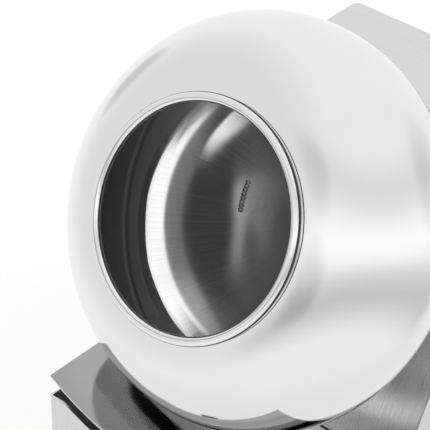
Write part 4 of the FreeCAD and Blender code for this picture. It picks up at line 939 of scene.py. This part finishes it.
class PAN_OT_drive(bpy.types.Operator):
    """Finishes the hub, the bearings, the worm reducer and the motor"""
    bl_idname = "coating_pan.drive"
    bl_label = "Drive"

    def execute(self, context):
        steel = turned_steel()
        zinc = zinc_plate()
        soften(steel, "machined_steel", 0.5 * MM, "hub_disc", "drum_shaft", "bearing_housing",
               "drive_spacers")
        soften(zinc, "zinc_fasteners", 0.3 * MM, "hub_bolts", "drive_bolts")
        soften(black_rubber(), "black_rubber", 0.3 * MM, "shaft_seal")
        dress(steel, "wheel_key", "worm_shaft", "end_washer", "bearing_inner_rings", "bearing_outer_rings",
              "bearing_cages")
        dress(zinc, "gearbox_screws", "end_bolt", "board_standoffs", "foot_bolts")
        dress(cast_aluminium(), "gearbox_case", "gearbox_cover", "motor_flange", "motor_housing",
              "motor_end_bell")
        dress(gear_bronze(), "worm_wheel", "worm_bushes")
        dress(lamination_steel(), "stator_core", "rotor_core")
        dress(powder_coat(), "fan_cover")
        dress(moulded_plastic("nylon_moulded_black", "#1E1F20", 0.4), "cooling_fan", "terminal_box",
              "potentiometer", "switch_blocks")
        dress(circuit_board(), "control_board")
        return {"FINISHED"}


class PAN_OT_controls(bpy.types.Operator):
    """Builds the controls on the front wall: rocker, lamp, speed knob with its dial, two buttons"""
    bl_idname = "coating_pan.controls"
    bl_label = "Controls"

    def execute(self, context):
        black = moulded_plastic("abs_moulded_black", "#202123", 0.32)
        chrome = chromed_brass()
        white = white_print()
        colours = settings().colours
        green = moulded_plastic("abs_moulded_green", colours.start, 0.25)
        red = moulded_plastic("abs_moulded_red", colours.stop, 0.25)
        soften(black, "black_plastic", 0.8 * MM, "rocker_bezel", "power_rocker")
        dress(chrome, "knob_spindle")
        self.rocker_marks(white)
        self.lamp(chrome)
        self.knob(black, white)
        self.dial(dark_print())
        self.bezels(chrome)
        start = self.button("start_button", green, "green_plastic")
        stop = self.button("stop_button", red, "red_plastic")
        make_piece("start_mark", self.stroke(start), body_of("start_button"), white)
        make_piece("stop_mark", self.loop(stop), body_of("stop_button"), white)
        return {"FINISHED"}

    def stroke(self, place):
        """Upright stroke, the sign for on."""
        size = settings().controls
        return bar(0.22 * size.mark_height, size.mark_height, size.ink, [place])

    def loop(self, place):
        """Ring, the sign for off."""
        size = settings().controls
        outer = size.mark_height / 2 / MM
        inner = 0.66 * outer
        half = size.ink / 2 / MM
        return turned(((inner, -half), (outer, -half), (outer, half), (inner, half)), [place], closed=True)

    def rocker_marks(self, material):
        """On and off signs on the rocker's two sloping faces."""
        low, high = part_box("power_rocker")
        half = (high.z - low.z) / 2
        dip = 2 * MM
        lean = math.atan2(dip, half)
        height = FRONT_WALL - low.y - 0.45 * dip
        for name, side, shape in (("rocker_on_mark", 1, self.stroke), ("rocker_off_mark", -1, self.loop)):
            place = on_front("power_rocker") @ Matrix.Translation((0, side * 0.55 * half, height))
            mesh = shape(place @ Matrix.Rotation(side * lean, 4, "X"))
            make_piece(name, mesh, body_of("power_rocker"), material)

    def lamp(self, chrome):
        """Domed lens in a turned ring."""
        place = on_front("indicator_lens")
        body = body_of("indicator_lens")
        ring = ((6.05, 0), (8, 0), (8, 1.4), (7.3, 2.2), (6.5, 2.2), (6.05, 1.6))
        make_piece("indicator_ring", turned(ring, [place], closed=True), body, chrome, (),
                   0.25 * MM)
        dome = ((0, -16), (6, -16), (6, 1.2), (5.7, 1.9), (4.9, 2.4), (3.5, 2.75), (1.8, 2.95), (0, 3))
        make_piece("indicator_dome", turned(dome, [place]), body, amber_lens(),
                   ("indicator_lens",))

    def knob(self, black, white):
        """Fluted knob on a flat skirt, with a white pointer."""
        size = settings().controls
        low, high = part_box("speed_knob")
        skirt = (high.x - low.x) / 2
        rise = high.y - low.y
        flute, taper = 0.055, 0.97
        rim, spare, dish = 1.6 * MM, 0.2 * MM, 0.6 * MM
        mesh, top = stub(skirt, 12 * size.flutes, size.skirt_rise)
        bmesh.ops.inset_region(mesh, faces=[top], thickness=skirt - size.knob_radius + 0.9 * MM)
        wave(top, size.flutes, flute)
        top = lift(mesh, top, rise - size.skirt_rise - spare)
        bmesh.ops.scale(mesh, vec=(taper, taper, 1), verts=top.verts[:])
        bmesh.ops.inset_region(mesh, faces=[top], thickness=rim)
        bmesh.ops.translate(mesh, vec=(0, 0, -dish), verts=top.verts[:])
        bmesh.ops.recalc_face_normals(mesh, faces=mesh.faces[:])
        place = on_front("speed_knob") @ Matrix.Translation((0, 0, FRONT_WALL - high.y))
        mesh.transform(place)
        body = body_of("speed_knob")
        make_piece("knob_cap", mesh, body, black, ("speed_knob",), 0.5 * MM)
        reach = 0.5 * size.knob_radius
        aim = Matrix.Rotation(size.dial_turn / 2, 4, "Z")
        spot = place @ aim @ Matrix.Translation((0, reach, rise - spare - dish))
        make_piece("knob_pointer", bar(1.4 * MM, reach, size.ink, [spot]), body, white)

    def dial(self, material):
        """Ticks and plain numbers round the knob."""
        size = settings().controls
        place = on_front("speed_knob")
        width, tick = 0.7 * MM, 3 * MM
        mesh = bmesh.new()
        for step in range(size.dial_steps + 1):
            turn = Matrix.Rotation(size.dial_turn * (0.5 - step / size.dial_steps), 4, "Z")
            out = Matrix.Translation((0, size.dial_radius + tick / 2, 0))
            bmesh.ops.create_cube(mesh, size=1.0, matrix=place @ turn @ out
                                  @ Matrix.Diagonal((width, tick, size.ink, 1)))
            spot = turn @ Vector((0, size.dial_radius + tick + 0.9 * size.mark_height, 0))
            data = number_mesh(str(step), size.mark_height, size.ink)
            data.transform(place @ Matrix.Translation(spot))
            mesh.from_mesh(data)
            bpy.data.meshes.remove(data)
        make_piece("speed_dial", mesh, "cabinet", material)

    def bezels(self, chrome):
        """Turned collars of the two buttons, with a bright shoulder and a sleeve through the wall."""
        outline = ((10.9, -14), (13, -14), (13, 0), (15.5, 0), (15.5, 1.3), (14.9, 2.1), (13.4, 2.5),
                   (12.7, 4), (11.5, 4), (10.9, 3.4))
        mesh = turned(outline, [on_front("start_button"), on_front("stop_button")], closed=True, steps=64)
        make_piece("bezel_collars", mesh, body_of("button_bezels"), chrome,
                   ("button_bezels",), 0.3 * MM)

    def button(self, name, material, slot):
        """Push button with a flat dish in its top; returns the middle of the dish."""
        low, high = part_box(name)
        radius = (high.x - low.x) / 2 / MM
        back = (FRONT_WALL - high.y) / MM
        rise = (FRONT_WALL - low.y) / MM
        dish = rise - 0.9
        outline = ((0, back), (radius, back), (radius, rise), (radius - 1.7, rise), (radius - 2.9, dish),
                   (0, dish))
        place = on_front(name)
        mesh = turned(outline, [place])
        make_piece(name + "_cap", mesh, body_of(name), material, (name,), 0.6 * MM)
        return place @ Matrix.Translation((0, 0, dish * MM))


class PAN_OT_fittings(bpy.types.Operator):
    """Builds the feet, the screws of the rear cover and the mains inlet"""
    bl_idname = "coating_pan.fittings"
    bl_label = "Fittings"

    def execute(self, context):
        nylon = moulded_plastic("nylon_moulded_inlet", "#232426", 0.38)
        soften(black_rubber(), "black_rubber", 1.2 * MM, "rubber_feet")
        soften(nylon, "black_plastic", 0.4 * MM, "power_inlet")
        self.cover_screws()
        return {"FINISHED"}

    def cover_screws(self):
        """Button-head screws with a six-lobed socket, in two columns on the rear cover."""
        radius, rise, socket = 4 * MM, 2.5 * MM, 1.9 * MM
        low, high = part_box("cover_screws")
        columns = (low.x + radius, high.x - radius)
        rows = (low.z + radius, (low.z + high.z) / 2, high.z - radius)
        mesh, top = stub(radius, 36, rise)
        bmesh.ops.inset_region(mesh, faces=[top], thickness=radius - socket)
        wave(top, 6, 0.16)
        lift(mesh, top, -0.6 * rise)
        bmesh.ops.recalc_face_normals(mesh, faces=mesh.faces[:])
        set_at(mesh, [Matrix.Translation((column, high.y - rise, row)) @ OUT_OF_BACK
                      for column in columns for row in rows])
        make_piece("cover_screw_heads", mesh, body_of("cover_screws"), zinc_plate(),
                   ("cover_screws",), 0.5 * MM)


class PAN_OT_stage(bpy.types.Operator):
    """Builds the floor, the light tents and the camera"""
    bl_idname = "coating_pan.stage"
    bl_label = "Stage"

    def execute(self, context):
        self.lay_floor()
        self.open_room()
        # The white tent has the dark and bright bands that the buffed drum shows; strip lights and dark
        # curtains are what only the inside of the drum sees.
        self.dome("light_tent", TENT_RADIUS, self.tent_glow, "EXCLUDE")
        self.dome("mouth_lights", MOUTH_LIGHTS_RADIUS, self.mouth_glow, "INCLUDE")
        self.set_camera()
        context.scene.view_settings.view_transform = "Standard"
        return {"FINISHED"}

    def direction(self, azimuth, elevation):
        """Unit vector; azimuth runs from the front to the right, elevation up, both in degrees."""
        turn, rise = math.radians(azimuth), math.radians(elevation)
        return Vector((math.sin(turn) * math.cos(rise), -math.cos(turn) * math.cos(rise), math.sin(rise)))

    def set_camera(self):
        """Camera at the photograph's viewing angle."""
        stage = settings().stage
        camera = bpy.data.objects.new("camera", bpy.data.cameras.new("camera"))
        bpy.context.scene.collection.objects.link(camera)
        back = self.direction(math.degrees(stage.azimuth), math.degrees(stage.elevation))
        right = Vector((math.cos(stage.azimuth), math.sin(stage.azimuth), 0))
        up = back.cross(right)
        aim = DRUM_CENTRE - right * stage.aside + up * stage.above
        camera.rotation_mode = "QUATERNION"
        camera.location = aim + back * stage.distance
        camera.rotation_quaternion = (-back).to_track_quat("-Z", "Y")
        camera.data.lens = stage.lens
        camera.data.clip_end = 100
        bpy.context.scene.camera = camera

    def lay_floor(self):
        """White paper that shows as white and keeps part of the shadow."""
        mesh = bmesh.new()
        bmesh.ops.create_circle(mesh, cap_ends=True, radius=FLOOR_RADIUS, segments=64)
        material, tree = fresh_material("floor_paper")
        camera, gloss = (add(tree, "LightPath", out=ray) for ray in ("Is Camera Ray", "Is Glossy Ray"))
        seen = add(tree, "Math", (camera, gloss), operation="MAXIMUM")
        # The eye and the metal see four fifths plain white, and a fifth of the shadow.
        share = add(tree, "Math", (seen, 0.8), operation="MULTIPLY")
        paper = add(tree, "BsdfDiffuse", {"Color": srgb("#FAFAFA")})
        glow = add(tree, "Emission", {"Color": srgb("#FFFFFF"), "Strength": 1.0})
        lit = add(tree, "MixShader", (share, paper, glow))
        # The paper fades out towards its rim, so that the drum mirrors no edge.
        place = add(tree, "TexCoord", out="Object")
        reach = add(tree, "VectorMath", (place,), "Value", operation="LENGTH")
        faded = add(tree, "MapRange", (reach, FLOOR_FADE, FLOOR_RADIUS))
        both = add(tree, "MixShader", (faded, lit, add(tree, "BsdfTransparent")))
        add(tree, "OutputMaterial", (both,))
        new_object("floor", mesh, material)

    def open_room(self):
        """Dim room; the camera sees white."""
        world = bpy.data.worlds.new("studio")
        world.use_nodes = True
        tree = world.node_tree
        tree.nodes.clear()
        dim, white = (add(tree, "Background", {"Color": srgb("#FFFFFF"), "Strength": strength})
                      for strength in (settings().stage.room, 1.0))
        both = add(tree, "MixShader", (add(tree, "LightPath", out="Is Camera Ray"), dim, white))
        add(tree, "OutputWorld", (both,))
        bpy.context.scene.world = world

    def dome(self, name, radius, strength_of, state):
        """Sheer dome that glows; it lights only the inside of the drum, or everything but that."""
        mesh = bmesh.new()
        bmesh.ops.create_icosphere(mesh, subdivisions=4, radius=radius,
                                   matrix=Matrix.Translation(DRUM_CENTRE))
        material, tree = fresh_material(name)
        material.cycles.emission_sampling = "NONE"
        place = add(tree, "TexCoord", out="Object")
        arm = add(tree, "VectorMath", (place, DRUM_CENTRE), operation="SUBTRACT")
        way = add(tree, "VectorMath", (arm,), operation="NORMALIZE")
        glow = add(tree, "Emission", {"Strength": strength_of(tree, way)})
        both = add(tree, "AddShader", (glow, add(tree, "BsdfTransparent")))
        add(tree, "OutputMaterial", (both,))
        made = new_object(name, mesh, material)
        made.visible_camera = False
        made.visible_shadow = False
        group = bpy.data.collections.new(name + "_receivers")
        for number, receiver in enumerate(("drum_inside", "ground_weld")):
            group.objects.link(bpy.data.objects[receiver])
            group.collection_objects[number].light_linking.link_state = state
        made.light_linking.receiver_collection = group

    def band(self, tree, way, normal, centre, inner, outer):
        """1 within a distance of a plane through the sky, falling softly to 0 at a wider distance."""
        level = add(tree, "VectorMath", (way, normal), "Value", operation="DOT_PRODUCT")
        off = add(tree, "Math", (level, centre), operation="SUBTRACT")
        gap = add(tree, "Math", (off,), operation="ABSOLUTE")
        return add(tree, "MapRange", (gap, inner, outer, 1.0, 0.0), interpolation_type="SMOOTHSTEP")

    def spot(self, tree, way, towards, inner, outer):
        """1 within an angle of a direction, falling softly to 0 at a wider angle."""
        level = add(tree, "VectorMath", (way, towards), "Value", operation="DOT_PRODUCT")
        far, near = math.cos(math.radians(outer)), math.cos(math.radians(inner))
        return add(tree, "MapRange", (level, far, near), interpolation_type="SMOOTHSTEP")

    def weigh(self, tree, start, terms):
        """Sum of a start value and weighted terms."""
        total = start
        for value, weight in terms:
            total = add(tree, "Math", (value, weight, total), operation="MULTIPLY_ADD")
        return total

    def patches(self, tree, way, rows):
        """Weighted spots; a row gives azimuth, elevation, inner and outer angle and weight."""
        return [(self.spot(tree, way, self.direction(azimuth, elevation), inner, outer), weight)
                for azimuth, elevation, inner, outer, weight in rows]

    def tent_glow(self, tree, way):
        """Strength of the tent: white with a strip and curtains on the right and a few grey patches."""
        # The curtains and the strip hang over the right and lie on parallel planes through the sky.
        hang = Vector((-0.229, 0.411, 0.883))
        side = self.spot(tree, way, self.direction(72, 5), 70, 92)
        bands = self.weigh(tree, 0.0, [
            (self.band(tree, way, hang, centre, 0.0, outer), weight) for centre, outer, weight in (
                (-0.36, 0.3, -0.33), (0.02, 0.25, 0.2), (0.42, 0.25, -0.13))])
        greys = self.patches(tree, way, (
            (-55, 25, 25, 65, -0.13), (0, 45, 4, 16, -0.12), (8, 15, 3, 17, -0.2),
            (148, 6, 5, 26, -0.16), (-103, 0, 2, 12, -0.26)))
        return self.weigh(tree, settings().stage.tent, [(bands, side)] + greys)

    def mouth_glow(self, tree, way):
        """Strength of the mouth lights: rings about the drum's axis on the right, a window and a strip."""
        along = add(tree, "VectorMath", (way, DRUM_AXIS), "Value", operation="DOT_PRODUCT")
        angle = add(tree, "Math", (along,), operation="ARCCOSINE")
        share = add(tree, "Math", (angle, math.pi / 2), operation="DIVIDE")
        rings = add(tree, "ValToRGB", (share,))
        stops = rings.node.color_ramp.elements
        # Degrees from the axis, and the light there.
        levels = ((0, 0.0), (14, 0.0), (19, 0.01), (23.5, 0.04), (27.5, 0.14), (44.5, 0.2), (47.5, 1.3),
                  (90, 1.4))
        while len(stops) < len(levels):
            stops.new(0.5)
        for stop, (degrees, light) in zip(stops, levels):
            stop.position = degrees / 90
            stop.color = (light, light, light, 1)
        lean = math.radians(25)
        side = self.spot(tree, way, SIDEWAYS * math.cos(lean) + PLATE_RISE * math.sin(lean), 72, 88)
        # A tall dim window in front and a lit strip low on the right, each a band that ends in a spot.
        window = add(tree, "Math", (
            self.band(tree, way, Vector((-0.938, -0.133, -0.32)), -0.017, 0.012, 0.055),
            self.spot(tree, way, self.direction(-2, 31), 5, 20)), operation="MULTIPLY")
        strip = add(tree, "Math", (
            self.band(tree, way, Vector((0.745, 0.098, -0.66)), 0.02, 0.05, 0.09),
            self.spot(tree, way, self.direction(8, -8), 19, 22)), operation="MULTIPLY")
        # A lamp overhead, a small one in front and a pale wall on the left.
        lamps = self.patches(tree, way, (
            (5, 74, 6, 24, 0.25), (-4, 22, 2, 9, 0.26), (-42, 10, 12, 32, 0.03)))
        return self.weigh(tree, 0.009, [(rings, side), (window, 0.28), (strip, 1.3)] + lamps)


class PAN_PT_panel(bpy.types.Panel):
    """Lists the steps that build the looks"""
    bl_idname = "PAN_PT_panel"
    bl_label = "Coating pan"
    bl_space_type = "VIEW_3D"
    bl_region_type = "UI"
    bl_category = "Coating pan"

    def draw(self, context):
        for step in STEPS:
            self.layout.operator(step.bl_idname)


STEPS = (PAN_OT_drum, PAN_OT_tray, PAN_OT_cabinet, PAN_OT_drive, PAN_OT_controls, PAN_OT_fittings,
         PAN_OT_stage)
GROUPS = (DrumSizes, TraySizes, CabinetSizes, ControlSizes, StageSettings, FinishColours,
          CoatingPanSettings)
CLASSES = GROUPS + STEPS + (PAN_PT_panel,)


def register():
    """Makes the settings, the steps and the panel known to Blender."""
    for item in CLASSES:
        bpy.utils.register_class(item)
    bpy.types.Scene.coating_pan = PointerProperty(type=CoatingPanSettings)


def unregister():
    """Takes them away again, last first."""
    del bpy.types.Scene.coating_pan
    for item in reversed(CLASSES):
        bpy.utils.unregister_class(item)


def main():
    """Runs the steps in order."""
    register()
    for step in STEPS:
        family, name = step.bl_idname.split(".")
        getattr(getattr(bpy.ops, family), name)()


if __name__ == "__main__":
    main()
